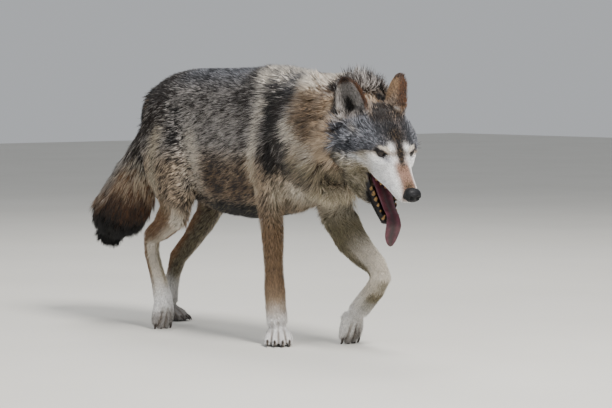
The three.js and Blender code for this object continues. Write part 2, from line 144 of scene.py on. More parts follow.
class Look:
    """A material under construction; `shader` holds its Principled BSDF."""

    def __init__(self, name, **settings):
        self.material = bpy.data.materials.new(name)
        self.material.use_nodes = True
        self.nodes = self.material.node_tree.nodes
        self.shader = self.nodes["Principled BSDF"]
        for socket, value in settings.items():
            self.shader.inputs[socket.replace("_", " ")].default_value = value

    def node(self, kind, settings=None, inputs=None, output=0):
        """Adds a node: its settings come first, then the values or wires of its sockets."""
        made = self.nodes.new(kind)
        for key, value in (settings or {}).items():
            setattr(made, key, value)
        for key, value in (inputs or {}).items():
            if isinstance(value, Wire):
                self.material.node_tree.links.new(value.socket, made.inputs[key])
            else:
                made.inputs[key].default_value = value
        return Wire(self, made.outputs[output])

    def place(self):
        return self.node("ShaderNodeTexCoord", output="Object")

    def noise(self, scale, detail=3.0):
        inputs = {"Vector": self.place(), "Scale": scale, "Detail": detail}
        return self.node("ShaderNodeTexNoise", None, inputs)

    def attribute(self, name, output="Color"):
        return self.node("ShaderNodeAttribute", {"attribute_name": name}, output=output)

    def ramp(self, factor, stops):
        """A colour ramp through (position, colour) stops."""
        made = self.nodes.new("ShaderNodeValToRGB")
        elements = made.color_ramp.elements
        while len(elements) < len(stops):
            elements.new(0.5)
        for element, (position, colour) in zip(elements, stops):
            element.position = position
            element.color = (*colour, 1)
        self.material.node_tree.links.new(factor.socket, made.inputs[0])
        return Wire(self, made.outputs[0])

    def mix(self, factor, first, second, blend="MIX"):
        """Blends two colours, given as wires or as rows of three numbers."""
        made = self.nodes.new("ShaderNodeMix")
        made.data_type = "RGBA"
        made.blend_type = blend
        for index, value in ((0, factor), (6, first), (7, second)):
            if isinstance(value, Wire):
                self.material.node_tree.links.new(value.socket, made.inputs[index])
            else:
                made.inputs[index].default_value = value if index == 0 else (*value, 1)
        return Wire(self, made.outputs[2])

    def feed(self, **wires):
        for socket, wire in wires.items():
            target = self.shader.inputs[socket.replace("_", " ")]
            self.material.node_tree.links.new(wire.socket, target)

    def bump(self, height, strength, distance):
        settings = {"Height": height, "Strength": strength, "Distance": distance}
        self.feed(Normal=self.node("ShaderNodeBump", None, settings))


def tone(code):
    """A linear colour from the six hexadecimal digits of a screen colour."""
    screen = np.array([int(code[i : i + 2], 16) for i in (0, 2, 4)]) / 255
    return np.where(screen > 0.04045, ((screen + 0.055) / 1.055) ** 2.4, screen / 12.92)


# %% Floor and lamps
FLOOR_HALF = 14.0


def mesh_object(name, verts, faces, look=None):
    """A mesh object from rows of places and rows of vertex numbers, all faces of one kind."""
    faces = np.ascontiguousarray(faces, dtype=np.int32)
    mesh = bpy.data.meshes.new(name)
    mesh.vertices.add(len(verts))
    mesh.vertices.foreach_set("co", np.ascontiguousarray(verts, dtype=np.float32).ravel())
    mesh.loops.add(faces.size)
    mesh.loops.foreach_set("vertex_index", faces.ravel())
    mesh.polygons.add(len(faces))
    starts = np.arange(len(faces), dtype=np.int32) * faces.shape[1]
    mesh.polygons.foreach_set("loop_start", starts)
    mesh.polygons.foreach_set("use_smooth", np.full(len(faces), True))
    mesh.update(calc_edges=True)
    if look:
        mesh.materials.append(look.material)
    made = bpy.data.objects.new(name, mesh)
    bpy.context.collection.objects.link(made)
    return made


paper = Look("studio_floor", Roughness=0.9)
paper.feed(Base_Color=paper.mix(paper.noise(1.5), tone("c9c7c0"), tone("d6d4ce")))
corners = FLOOR_HALF * np.array([[-1, -1, 0], [1, -1, 0], [1, 1, 0], [-1, 1, 0]])
floor = mesh_object("floor", corners, [[0, 1, 2, 3]], paper)

world = bpy.data.worlds.new("sky")
world.use_nodes = True
sky = world.node_tree.nodes["Background"].inputs
sky["Color"].default_value = (0.93, 0.96, 1.0, 1)
sky["Strength"].default_value = 0.5
bpy.context.scene.world = world


def lamp(name, place, size, power, colour):
    data = bpy.data.lights.new(name, "AREA")
    data.shape = "DISK"
    data.size = size
    data.energy = power
    data.color = colour
    made = bpy.data.objects.new(name, data)
    bpy.context.collection.objects.link(made)
    aim(made, place, (0.1, 0, 0.4))


lamp("key", (3.0, -0.4, 3.8), 1.3, 330, (1.0, 0.97, 0.93))
lamp("rim", (-2.2, 1.8, 4.0), 2.0, 110, (1.0, 0.98, 0.95))
lamp("fill", (0.6, -4.6, 2.4), 2.6, 70, (0.93, 0.96, 1.0))

# %% [markdown]
# ## The head's own frame
# Places on the head are given as forward, left and up from the point midway between the eyes.
# The line through the eyes gives the left axis; the head is pitched nose down.

# %% Head frame
HEAD_PITCH = math.radians(35)


def unit(rows):
    return rows / np.maximum(np.linalg.norm(rows, axis=-1, keepdims=True), 1e-12)


EYES = {-1: middle_of("eye_right"), 1: middle_of("eye_left")}
EYE_RADIUS = float(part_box("eye_left")[1][2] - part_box("eye_left")[0][2]) / 2
UP = np.array([0.0, 0.0, 1.0])
head_left = unit(EYES[1] - EYES[-1])
level_ahead = np.cross(head_left, UP)
head_ahead = math.cos(HEAD_PITCH) * level_ahead - math.sin(HEAD_PITCH) * UP
head_up = np.cross(head_ahead, head_left)
HEAD_AXES = np.stack([head_ahead, head_left, head_up])
HEAD_ORIGIN = (EYES[-1] + EYES[1]) / 2 + 2 * MM * head_ahead


def to_head(points):
    """Forward, left and up of each point in the head's frame, in millimetres."""
    return (points - HEAD_ORIGIN) @ HEAD_AXES.T / MM


def from_head(rows):
    """Places in the model's frame from rows of forward, left and up in millimetres."""
    return HEAD_ORIGIN + np.asarray(rows, dtype=float) * MM @ HEAD_AXES


print("head frame at", np.round(HEAD_ORIGIN, 4), "eye radius", round(EYE_RADIUS, 4))

# %% [markdown]
# ## Noise, masks and smooth steps
# Markings, locks of hair and small folds all need repeatable noise. Random values on a cubic
# lattice, blended smoothly, give it without any texture.

# %% Numeric helpers
LATTICE = np.array([73856093, 19349663, 83492791], dtype=np.int64)


def hashed(cells, seed):
    """A repeatable number from 0 to 1 for each row of whole numbers."""
    mixed = (cells.astype(np.int64) * LATTICE).sum(-1) + seed * 7919
    mixed = (mixed ^ (mixed >> 13)) * 1274126177
    return ((mixed ^ (mixed >> 16)) & 0xFFFFFF) / float(0x1000000)


def noise(points, size, seed=0):
    """Smooth noise from -1 to 1: lattice values of the given spacing, blended by smoothstep."""
    scaled = points / size
    base = np.floor(scaled).astype(np.int64)
    part = scaled - base
    part = part * part * (3 - 2 * part)
    total = np.zeros(len(points))
    for corner in np.ndindex(2, 2, 2):
        offset = np.array(corner)
        weight = np.prod(np.where(offset == 1, part, 1 - part), axis=1)
        total += weight * hashed(base + offset, seed)
    return 2 * total - 1


def ease(value, start, end):
    """0 before start, 1 after end, and a smooth step between; start may be above end."""
    share = np.clip((value - start) / (end - start), 0, 1)
    return share * share * (3 - 2 * share)


def bump_at(points, centre, radii):
    """A bell, 1 at the centre and falling as a Gaussian of the distance in units of radii."""
    return np.exp(-(((points - np.asarray(centre)) / np.asarray(radii)) ** 2).sum(-1))


def along_line(points, line):
    """Distance to a polyline and the share of the way along it, for each point."""
    line = np.asarray(line, dtype=float)
    runs = np.diff(line, axis=0)
    sizes = np.linalg.norm(runs, axis=1)
    before = np.concatenate([[0], np.cumsum(sizes)[:-1]])
    best = np.full(len(points), np.inf)
    share = np.zeros(len(points))
    for start, run, size, done in zip(line[:-1], runs, sizes, before):
        t = np.clip((points - start) @ run / size**2, 0, 1)
        gap = np.linalg.norm(points - start - t[:, None] * run, axis=1)
        closer = gap < best
        best = np.where(closer, gap, best)
        share = np.where(closer, (done + t * size) / sizes.sum(), share)
    return best, share


# %% [markdown]
# ## One skin from the CAD pieces
# The flesh nodes are closed solids with hairline gaps. Joined into one mesh and remeshed as
# voxels, they become one seamless surface. The facets of the CAD solids are then melted by
# moving each vertex towards the mean of its neighbours, more on the trunk than on the face.

# %% Join and remesh
VOXEL = 3.6 * MM
KEPT = 0.205  # share of the triangles that is left on the trunk and legs


def read_mesh(mesh):
    """Places and triangles of a mesh as arrays."""
    mesh.calc_loop_triangles()
    verts = np.empty(len(mesh.vertices) * 3, np.float32)
    tris = np.empty(len(mesh.loop_triangles) * 3, np.int32)
    mesh.vertices.foreach_get("co", verts)
    mesh.loop_triangles.foreach_get("vertices", tris)
    return verts.reshape(-1, 3).astype(float), tris.reshape(-1, 3).astype(np.int64)


def gather(shapes):
    """Joins several (places, faces) shapes into one."""
    counts = np.cumsum([0] + [len(places) for places, _ in shapes])
    faces = np.vstack([faces + n for (_, faces), n in zip(shapes, counts)])
    return np.vstack([places for places, _ in shapes]), faces


def join_nodes(names):
    """All triangles of the named nodes in one array of places and one of triangles."""
    return gather([read_mesh(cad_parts[name].data) for name in names])


solid_verts, solid_tris = join_nodes([*FLESH, "eye_right", "eye_left", "nose"])
rough = mesh_object("rough_skin", solid_verts, solid_tris)
shell = rough.modifiers.new("shell", "REMESH")
shell.mode = "VOXEL"
shell.voxel_size = VOXEL
made = rough.evaluated_get(bpy.context.evaluated_depsgraph_get()).to_mesh()
verts, tris = read_mesh(made)
bpy.data.objects.remove(rough)


def edge_pairs(tris):
    """Each edge once, as a sorted pair of vertex numbers."""
    pairs = np.sort(np.vstack([tris[:, [0, 1]], tris[:, [1, 2]], tris[:, [2, 0]]]), axis=1)
    return np.unique(pairs, axis=0)


def keep_largest(verts, tris):
    """Drops all but the largest connected surface: labels spread along edges until they agree."""
    pairs = edge_pairs(tris)
    label = np.arange(len(verts))
    while True:
        low = np.minimum(label[pairs[:, 0]], label[pairs[:, 1]])
        after = label.copy()
        np.minimum.at(after, pairs[:, 0], low)
        np.minimum.at(after, pairs[:, 1], low)
        after = after[after]
        if (after == label).all():
            break
        label = after
    names, counts = np.unique(label, return_counts=True)
    keep = label == names[np.argmax(counts)]
    renumber = np.cumsum(keep) - 1
    return verts[keep], renumber[tris[keep[tris[:, 0]]]]


verts, tris = keep_largest(verts, tris)
print("remeshed skin:", len(verts), "vertices", len(tris), "triangles")

# %% Refine where the face is small
FACE_EDGE = 3.3 * MM
LID_EDGE = 1.1 * MM
LID_REACH = 21 * MM


def refine(verts, tris, wanted):
    """Splits each edge that `wanted(middles, lengths)` picks, and each triangle by its split
    edges: into two, three or four."""
    sides = np.stack([tris[:, [0, 1]], tris[:, [1, 2]], tris[:, [2, 0]]], axis=1)
    pairs, which = np.unique(np.sort(sides, axis=2).reshape(-1, 2), axis=0, return_inverse=True)
    ends = verts[pairs]
    middles = ends.mean(axis=1)
    picked = wanted(middles, np.linalg.norm(ends[:, 0] - ends[:, 1], axis=1))
    number = np.full(len(pairs), -1)
    number[picked] = len(verts) + np.arange(picked.sum())
    mids = number[which.reshape(-1)].reshape(-1, 3)
    count = (mids >= 0).sum(axis=1)
    turn = np.zeros(len(tris), dtype=int)
    turn[count == 1] = np.argmax(mids[count == 1] >= 0, axis=1)
    turn[count == 2] = (np.argmin(mids[count == 2], axis=1) + 1) % 3
    order = (turn[:, None] + np.arange(3)) % 3
    v = np.take_along_axis(tris, order, axis=1)
    m = np.take_along_axis(mids, order, axis=1)
    a, b, c = v.T
    p, q, r = m.T
    parts = [tris[count == 0]]
    patterns = {
        1: [(a, p, c), (p, b, c)],
        2: [(p, b, q), (a, p, q), (a, q, c)],
        3: [(a, p, r), (b, q, p), (c, r, q), (p, q, r)],
    }
    for many, corners in patterns.items():
        parts += [np.stack(corner, axis=1)[count == many] for corner in corners]
    return np.vstack([verts, middles[picked]]), np.vstack(parts)


def on_face(middles, lengths):
    head = to_head(middles)
    front = (head[:, 0] > -30) & (np.linalg.norm(head - [20, 0, -50], axis=1) < 110)
    return (front | (middles[:, 2] < 0.11)) & (lengths > FACE_EDGE)


def near_eye(middles, lengths):
    gap = np.minimum(*(np.linalg.norm(middles - EYES[side], axis=1) for side in (-1, 1)))
    return (gap < LID_REACH) & (lengths > np.maximum(LID_EDGE, (gap - 12 * MM) * 0.32))


verts, tris = refine(verts, tris, on_face)
print("with a finer face:", len(tris), "triangles")

# %% Smooth the facets
def neighbours(tris, count):
    """The two ends of every edge, both ways round, and how many edges each vertex has."""
    pairs = edge_pairs(tris)
    ends, others = np.concatenate([pairs, pairs[:, ::-1]]).T.copy()
    return ends, others, np.bincount(ends, minlength=count)


PUSH_BACK = 0.92  # how much of the shrinking is undone


def relax(verts, tris, weight, rounds):
    """Moves each vertex towards the mean of its neighbours by its weight, then back a little
    less, so that the surface smooths without shrinking."""
    ends, others, degree = neighbours(tris, len(verts))
    for _ in range(rounds):
        for push in (1.0, -PUSH_BACK):
            sums = [np.bincount(ends, verts[others, axis], len(verts)) for axis in range(3)]
            mean = np.stack(sums, axis=1) / degree[:, None]
            verts = verts + push * weight[:, None] * (mean - verts)
    return verts


def normals_of(verts, tris):
    """Unit normals at the vertices: the sum of the crossed sides of the triangles round each."""
    a, b, c = (verts[tris[:, i]] for i in range(3))
    flat = np.cross(b - a, c - a)

    def total(axis):
        return sum(np.bincount(tris[:, i], flat[:, axis], len(verts)) for i in range(3))

    return unit(np.stack([total(axis) for axis in range(3)], axis=1))


head_mm = to_head(verts)
in_head = ease(verts[:, 0], 0.42, 0.46)
in_face = ease(head_mm[:, 0], -70, -30) * in_head
in_paw = ease(verts[:, 2], 0.11, 0.07)
in_ear = in_head * ease(head_mm[:, 2] - 0.6 * head_mm[:, 0], 90, 110)
in_ear *= ease(np.abs(head_mm[:, 1]), 14, 26)
softness = 0.66 - 0.4 * in_face - 0.46 * np.maximum(in_paw, in_ear)
verts = relax(verts, tris, softness, 40)
print("smoothed", len(verts), "vertices")

# %% Thin out the trunk
# The trunk and legs are broad and hidden by hair, so most of their triangles are spared.
spared = (verts[:, 0] < 0.40) & (verts[:, 2] > 0.125)
dense = mesh_object("dense_skin", verts, tris)
dense.vertex_groups.new(name="body").add(np.flatnonzero(spared).tolist(), 1.0, "ADD")
body_tris = spared[tris].all(axis=1).sum()
thinner = dense.modifiers.new("thinner", "DECIMATE")
thinner.ratio = 1 - (1 - KEPT) * body_tris / len(tris)
thinner.vertex_group = "body"
made = dense.evaluated_get(bpy.context.evaluated_depsgraph_get()).to_mesh()
verts, tris = read_mesh(made)
bpy.data.objects.remove(dense)
print("thinned skin:", len(tris), "triangles")

# %% [markdown]
# ## The lie and depth of the coat
# Hair lies along lines that run from the nose over the back to the tail, and down each leg.
# Each guide line carries the direction of the hair, how deep the coat is there and how long
# the hair is. The lines of the limbs are the middles of slabs through the CAD nodes, so they
# follow the frame by themselves. Everywhere else the values are blended from nearby guides.

# %% Guide lines
def slab_line(names, slabs, axis=2):
    """The middles of slabs cut through nodes, from high to low along an axis."""
    corners, faces = join_nodes(names)
    spots = np.array([[1, 0, 0], [0, 1, 0], [0, 0, 1], [2, 1, 0], [0, 2, 1], [1, 0, 2], [1, 1, 1]])
    spots = spots / spots.sum(axis=1, keepdims=True)
    points = np.einsum("sk,tki->tsi", spots, corners[faces]).reshape(-1, 3)
    level = points[:, axis]
    edges = np.linspace(level.max(), level.min(), slabs + 1)
    cuts = [(level <= high) & (level >= low) for high, low in zip(edges[:-1], edges[1:])]
    return np.array([(points[cut].min(axis=0) + points[cut].max(axis=0)) / 2 for cut in cuts])


GUIDE_STEP = 0.02


def guide(points, depths, lengths, lean=(0, 0, 0)):
    """Rows of place, direction, coat depth and hair length along a line, evenly spaced."""
    points = np.asarray(points, dtype=float)
    sizes = np.linalg.norm(np.diff(points, axis=0), axis=1)
    stations = np.concatenate([[0], np.cumsum(sizes)])
    at = np.linspace(0, stations[-1], max(int(stations[-1] / GUIDE_STEP), 2))
    place = np.stack([np.interp(at, stations, points[:, i]) for i in range(3)], axis=1)
    way = unit(unit(np.gradient(place, axis=0)) + np.asarray(lean))
    spread = np.linspace(0, 1, len(depths)) * stations[-1]
    rows = [np.interp(at, spread, np.asarray(values) * MM)[:, None] for values in (depths, lengths)]
    return np.hstack([place, way, *rows])


def on_right(points):
    return np.asarray(points) * [1, -1, 1] + LAYOUT


def on_left(points):
    return np.asarray(points) + LAYOUT


leg_lines = {
    leg: slab_line([leg, paw], 8 if leg == "foreleg_right" else 10) for leg, paw in zip(LEGS, PAWS)
}
tail_line = slab_line(["tail"], 8)
BACK = [
    *[(0.45, -0.01, 0.60), (0.36, 0, 0.655), (0.2, 0, 0.685), (0, 0, 0.69)],
    *[(-0.2, 0, 0.68), (-0.37, 0, 0.64), (-0.44, 0, 0.5)],
]
FLANK = [
    *[(0.43, 0.11, 0.56), (0.33, 0.13, 0.57), (0.2, 0.12, 0.55), (0, 0.125, 0.53)],
    *[(-0.2, 0.125, 0.51), (-0.38, 0.12, 0.47)],
]
BELLY = [
    *[(0.24, 0.05, 0.36), (0.1, 0.06, 0.355), (-0.05, 0.06, 0.36)],
    *[(-0.2, 0.06, 0.37), (-0.3, 0.05, 0.35)],
]
THROAT = [(0.44, 0.04, 0.38), (0.36, 0.05, 0.375), (0.27, 0.04, 0.37), (0.22, 0.03, 0.355)]
RUFF = [(0.44, 0.09, 0.50), (0.36, 0.11, 0.46), (0.3, 0.11, 0.42), (0.25, 0.10, 0.38)]
SHOULDER = [(0.22, 0.12, 0.50), (0.2, 0.12, 0.42), (0.195, 0.09, 0.32)]
THIGH = [(-0.28, 0.12, 0.52), (-0.24, 0.125, 0.43), (-0.22, 0.12, 0.33)]
FORELEG = ([8, 5, 3, 2.6, 1.6], [26, 16, 11, 9, 6])
HINDLEG = ([9, 5, 3, 2.6, 1.6], [28, 16, 11, 9, 6])
DOWN = (0, 0, -0.35)
SIDE_LINES = [  # line on the left, coat depths and hair lengths in mm, lean of the hair
    (FLANK, [22, 30, 20, 14, 14, 14], [46, 54, 36, 29, 28, 29], DOWN),
    (BELLY, [16, 14, 14, 14, 12], [36, 32, 30, 28, 26], DOWN),
    (THROAT, [14, 20, 18, 14], [36, 48, 46, 38], DOWN),
    (RUFF, [18, 26, 22, 16], [44, 58, 50, 42]),
    (SHOULDER, [14, 12, 9], [32, 28, 22], (-0.5, 0, 0)),
    (THIGH, [13, 12, 9], [29, 27, 23], (-0.6, 0, 0)),
]
guides = [guide(on_left(BACK), [20, 26, 22, 14, 14, 16, 20], [42, 54, 46, 31, 30, 32, 36])]
for line, *coat in SIDE_LINES:
    guides += [guide(flip(line), *coat) for flip in (on_right, on_left)]
guides += [guide(leg_lines[name], *(FORELEG if "fore" in name else HINDLEG)) for name in LEGS]
guides.append(guide(tail_line, [22, 30, 32, 26, 16], [48, 60, 60, 46, 26]))
EARS = {  # side: root, tip, and how far the opening is turned outward
    -1: ((-108, -69, 19), (-172, -91, 95), math.radians(46)),
    1: ((-108, 50, 24), (-174, 68, 104), math.radians(82)),
}
FACE_LINES = [  # forward, left, up in mm; coat depths; hair lengths
    (
        [(112, 0, -34), (70, 0, -20), (20, 0, 0), (-20, 0, 34), (-80, 0, 52), (-130, 0, 40)],
        *([1.5, 2, 3, 5, 8, 14], [4, 5, 7, 12, 20, 34]),
    ),
    (
        [(105, 22, -55), (60, 32, -50), (20, 44, -44), (-30, 72, -40)]
        + [(-80, 92, -50), (-130, 90, -60)],
        *([1.5, 2, 3, 7, 14, 18], [4, 6, 9, 18, 34, 44]),
    ),
    (
        [(0, 56, 4), (-40, 78, 0), (-90, 92, -5), (-130, 88, -10)],
        *([3, 5, 10, 14], [8, 15, 26, 36]),
    ),
    (
        [(100, 14, -68), (40, 36, -78), (-20, 50, -86), (-60, 60, -110), (-100, 60, -130)],
        *([1.2, 2, 4, 10, 14], [4, 6, 12, 26, 38]),
    ),
    (
        [(70, 16, -160), (20, 30, -140), (-30, 40, -125), (-70, 30, -140), (-110, 30, -140)],
        *([2, 3, 6, 12, 16], [5, 8, 16, 30, 38]),
    ),
]
for line, *coat in FACE_LINES:
    for side in (-1, 1):
        guides.append(guide(from_head(np.array(line) * [1, side, 1]), *coat))
for root, tip, _ in EARS.values():
    guides.append(guide(from_head([root, tip]), [6, 2.0, 1.2], [14, 10, 8]))
guides = np.vstack(guides)
print("guide rows:", len(guides))


BLOCK = 20000  # points at a time, to spare memory
BLUR = 0.018


def blend_guides(points):
    """Direction, depth and length at each point: the guides' mean, weighted by the inverse
    tenth power of distance, so that the nearest guide rules."""
    out = np.zeros((len(points), 5))
    for start in range(0, len(points), BLOCK):
        block = points[start : start + BLOCK]
        gaps = ((block[:, None] - guides[None, :, :3]) ** 2).sum(-1)
        weight = 1 / (gaps + BLUR**2) ** 5
        weight /= weight.sum(axis=1, keepdims=True)
        out[start : start + BLOCK] = weight @ guides[:, 3:]
    return out


def in_ears(points):
    """True inside the box of either ear, with a margin of a millimetre."""
    low, high = np.array([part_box("ear_right"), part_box("ear_left")]).transpose(1, 0, 2)[:, :, None]
    return ((points > low - MM) & (points < high + MM)).all(axis=2).any(axis=0)


EAR_HALF = [(-0.12, 36), (0.1, 43), (0.32, 44), (0.55, 39), (0.76, 31), (0.92, 18), (1.1, 6)]


def ear_view(points, normals):
    """How far each point is on an ear, its share of the way to the tip, how much it faces the
    way the ear opens, and its place across the ear from -1 (outer edge) to 1 (inner edge)."""
    head = to_head(points)
    out = np.zeros((4, len(points)))
    for side, (root, tip, turn) in EARS.items():
        axis = np.array(tip) - np.array(root, dtype=float)
        size = np.linalg.norm(axis)
        axis /= size
        facing = np.array([math.cos(turn), side * math.sin(turn), 0])
        opening = unit(facing - (facing @ axis) * axis)
        inward = np.cross(axis, opening)
        inward *= -np.sign(inward[1] * side)
        offset = head - np.array(root)
        share = offset @ axis / size
        across = offset @ inward / np.interp(share, *np.array(EAR_HALF).T)
        mask = ease(np.abs(offset @ opening), 44, 34) * ease(np.abs(across), 1.5, 1.25)
        mask *= ease(share, 0.0, 0.22)
        facing_out = (normals @ HEAD_AXES.T) @ opening
        better = mask > out[0]
        out = np.where(better, np.stack([mask, share, facing_out, across]), out)
    return out


def shared(values, tris, rounds):
    """Averages a value over each vertex's neighbours, a few times over."""
    ends, others, degree = neighbours(tris, len(values))
    for _ in range(rounds):
        values = 0.5 * values + 0.5 * np.bincount(ends, values[others], len(values)) / degree
    return values


# %% [markdown]
# ## Paws: their own frames
# Each paw is placed by its knuckles, a pitch and a turn. The soles have no coat, so the skin
# keeps the outline of the solid there and the pads meet the floor.

# %% Paw frames
PAW_LENGTH = {"fore": 84, "hind": 79}
PAW_HALF = {"fore": 33, "hind": 30.4}
KNUCKLES = {
    "forepaw_right": ((205.0, -77.7, 31), 0, -38),
    "forepaw_left": ((319.0, 72.3, 66), 84, 0),
    "hind_paw_right": ((-264.0, -77.5, 62), 78, 0),
    "hind_paw_left": ((-445.0, 72.9, 31), 0, 4),
}


def paw_axes(pitch, yaw):
    """Rows: toes ahead, left and up of a paw, from its pitch downward and its turn."""
    p, w = math.radians(pitch), math.radians(yaw)
    ahead = np.array([math.cos(w) * math.cos(p), math.sin(w) * math.cos(p), -math.sin(p)])
    left = np.array([-math.sin(w), math.cos(w), 0])
    return np.stack([ahead, left, np.cross(ahead, left)])


def heel(name):
    """From a paw's knuckle back and down to the heel of its sole, in millimetres."""
    return np.array([PAW_LENGTH[name[:4]] * 0.2, 0, 34])


def to_paw(points, name):
    """Places in a paw's own frame in millimetres, with the sole at height 0."""
    knuckle, pitch, yaw = KNUCKLES[name]
    return ((points - LAYOUT) / MM - np.array(knuckle)) @ paw_axes(pitch, yaw).T + heel(name)


def from_paw(rows, name):
    """The way back from a paw's frame to the model's."""
    knuckle, pitch, yaw = KNUCKLES[name]
    local = np.asarray(rows, dtype=float) - heel(name)
    return (local @ paw_axes(pitch, yaw) + np.array(knuckle)) * MM + LAYOUT


def pad_mask(points, normals):
    """1 on the bare soles of the four paws."""
    mask = np.zeros(len(points))
    for name in PAWS:
        local = to_paw(points, name)
        facing = -normals @ paw_axes(*KNUCKLES[name][1:])[2]
        inside = (local[:, 0] > -24) & (np.abs(local[:, 1]) < 50) & (np.abs(local[:, 2]) < 60)
        sole = ease(facing, 0.25, 0.6) * ease(local[:, 2], 22, 12)
        mask = np.maximum(mask, inside * sole)
    return mask


def creases(points):
    """Bells along the three furrows between the four toes of each paw, fading at the wrist."""
    found = np.zeros(len(points))
    for name in PAWS:
        local = to_paw(points, name)
        reach, half = PAW_LENGTH[name[:4]], PAW_HALF[name[:4]]
        ahead = local[:, 0] / reach
        here = (np.abs(local[:, 1]) < 1.5 * half) & (np.abs(local[:, 2]) < 62)
        for spread in (-0.52, 0.0, 0.52):
            furrow = spread * half * (0.62 + 0.55 * np.clip(ahead, 0, 1))
            bell = np.exp(-(((local[:, 1] - furrow) / 2.6) ** 2))
            bell *= here * ease(ahead, 0.2, 0.6) * ease(local[:, 2], 4, 14)
            found = np.maximum(found, bell)
    return found


# %% Sink the skin by the depth of the coat
STEPS = 5
CREASE_DEPTH = 3.5 * MM


def sink(verts, depth):
    """Moves the outline inward along its normals in a few steps, smoothing as it goes."""
    for _ in range(STEPS):
        verts = verts - normals_of(verts, tris) * (depth / STEPS)[:, None]
        verts = relax(verts, tris, 0.3 * ease(depth, 2 * MM, 6 * MM), 1)
    return verts


outline, outward = verts, normals_of(verts, tris)
depth = blend_guides(outline)[:, 3]
ear_here, ear_share, _, _ = ear_view(outline, outward)
depth = depth + ear_here * ease(ear_share, 0.05, 0.35) * (1.5 * MM - depth)
depth *= 1 - pad_mask(outline, outward)
depth = shared(depth, tris, 8)
for _ in range(3):
    verts = sink(outline, depth)
    crossed = (normals_of(verts, tris) * outward).sum(axis=1) < 0.4  # the skin has met itself
    depth = depth * (1 - 0.8 * np.clip(5 * shared(crossed.astype(float), tris, 10), 0, 1))
    print("folded over:", int(crossed.sum()))
verts = sink(outline, depth)
verts = verts - normals_of(verts, tris) * (creases(verts) * CREASE_DEPTH)[:, None]
print("mean coat depth mm:", round(float(depth.mean()) / MM, 1))

# %% [markdown]
# ## Eyelids
# The lids are part of the skin. Round each eye the skin is split finely; seen from the middle
# of the eyeball, every direction is either inside the almond of the opening, where the skin
# ducks behind the eyeball, or outside it, where it hugs the ball as a lid one millimetre thick
# and then rises into the brow and cheek.

# %% Lids
EYE_OUTWARD = math.radians(33)
EYE_TILT = math.radians(17)  # the outer corner stands higher than the inner one
OPEN_WIDE = 0.98  # half the opening's width, in eyeball radii
OPEN_UPPER = 0.45
OPEN_LOWER = 0.36
LID_THICK = 1.0 * MM


def eye_axes(side):
    """Rows: the gaze, the direction towards the inner corner, and the lid's up."""
    gaze = math.cos(EYE_OUTWARD) * head_ahead + side * math.sin(EYE_OUTWARD) * head_left
    inward = np.cross(head_up, gaze)
    inward *= -side * np.sign(inward @ head_left)
    lifted = np.cross(gaze, inward)
    lifted *= np.sign(lifted @ head_up)
    across = math.cos(EYE_TILT) * inward - math.sin(EYE_TILT) * lifted
    return np.stack([gaze, across, math.cos(EYE_TILT) * lifted + math.sin(EYE_TILT) * inward])


def eye_view(points, side):
    """Distance from the eyeball's middle, and how far outside the almond each point lies, in
    millimetres along the eyeball (negative inside)."""
    offset = points - EYES[side]
    far = np.linalg.norm(offset, axis=1)
    seen = offset / far[:, None] @ eye_axes(side).T
    wide = seen[:, 1] / OPEN_WIDE
    room = np.maximum(1 - np.abs(wide) ** 1.7, 0)
    upper = OPEN_UPPER * room * (1 + 0.18 * wide)
    lower = OPEN_LOWER * room * (1 - 0.10 * wide)
    over = np.where(seen[:, 2] > 0, seen[:, 2] - upper, -seen[:, 2] - lower)
    beyond = np.maximum(np.abs(wide) - 1, 0) * OPEN_WIDE
    outside = np.where(beyond > 0, np.hypot(np.maximum(over, 0), beyond), over)
    outside = np.where(seen[:, 0] < 0, 1.5, outside)
    return far, outside * EYE_RADIUS / MM


for _ in range(4):
    verts, tris = refine(verts, tris, near_eye)
eye_zone = np.min([np.linalg.norm(verts - EYES[side], axis=1) for side in (-1, 1)], axis=0)
verts = relax(verts, tris, 0.5 * ease(eye_zone, LID_REACH, 15 * MM), 6)
for side in (-1, 1):
    far, outside = eye_view(verts, side)
    zone = ease(far, 24 * MM, 17 * MM)
    lid = EYE_RADIUS + LID_THICK * (0.9 + 0.10 * np.clip(outside, 0, 8))
    hug = ease(outside, 7.0, 1.0)
    goal = np.maximum(far + (lid - far) * hug, lid)
    goal = np.where(outside < 0, 0.82 * EYE_RADIUS, goal)
    goal = far + (goal - far) * zone
    verts = EYES[side] + (verts - EYES[side]) * (goal / far)[:, None]
print("skin with lids:", len(verts), "vertices", len(tris), "triangles")

# %% [markdown]
# ## Mouth and face forms
# The remesh has softened the lips and the corner of the mouth. A few bells along the normals
# bring back the pads that carry the whiskers, the hollow under the eye and the ridge of the
# cheek bone.

# %% Face forms
FACE_FORMS = [  # forward, left (both sides), up; radii; height along the normal, in mm
    ((88, 22, -56), (18, 12, 13), 1.6),
    ((40, 34, -30), (20, 10, 12), -1.6),
    ((22, 33, -14), (12, 9, 8), -1.4),
    ((-10, 52, -24), (26, 14, 8), 1.8),
    ((8, 26, 18), (12, 9, 7), 1.6),
    ((24, 0, 4), (16, 7, 12), -1.4),
    ((14, 23, 2), (11, 8, 9), -2.6),
    ((119, 0, -39), (15, 25, 21), -13.0),
    ((-40, 0, 46), (30, 5, 20), -1.2),
]
face = to_head(verts)
folded = face * [1, 0, 1] + np.abs(face) * [0, 1, 0]
rise = sum(height * bump_at(folded, centre, radii) for centre, radii, height in FACE_FORMS)
verts = verts + normals_of(verts, tris) * (rise * MM)[:, None]
verts[:, 2] = np.maximum(verts[:, 2], 0)
normals = normals_of(verts, tris)


# %% [markdown]
# ## Markings
# A wolf's hairs are banded: pale at the middle and black at the tip. Each place on the body
# therefore has a pale colour, a dark colour and a share of dark hairs. The markings are laid
# over each other like coats of paint, each with a soft mask in places of the body or the head.
# Skin and tufts both read the same function.

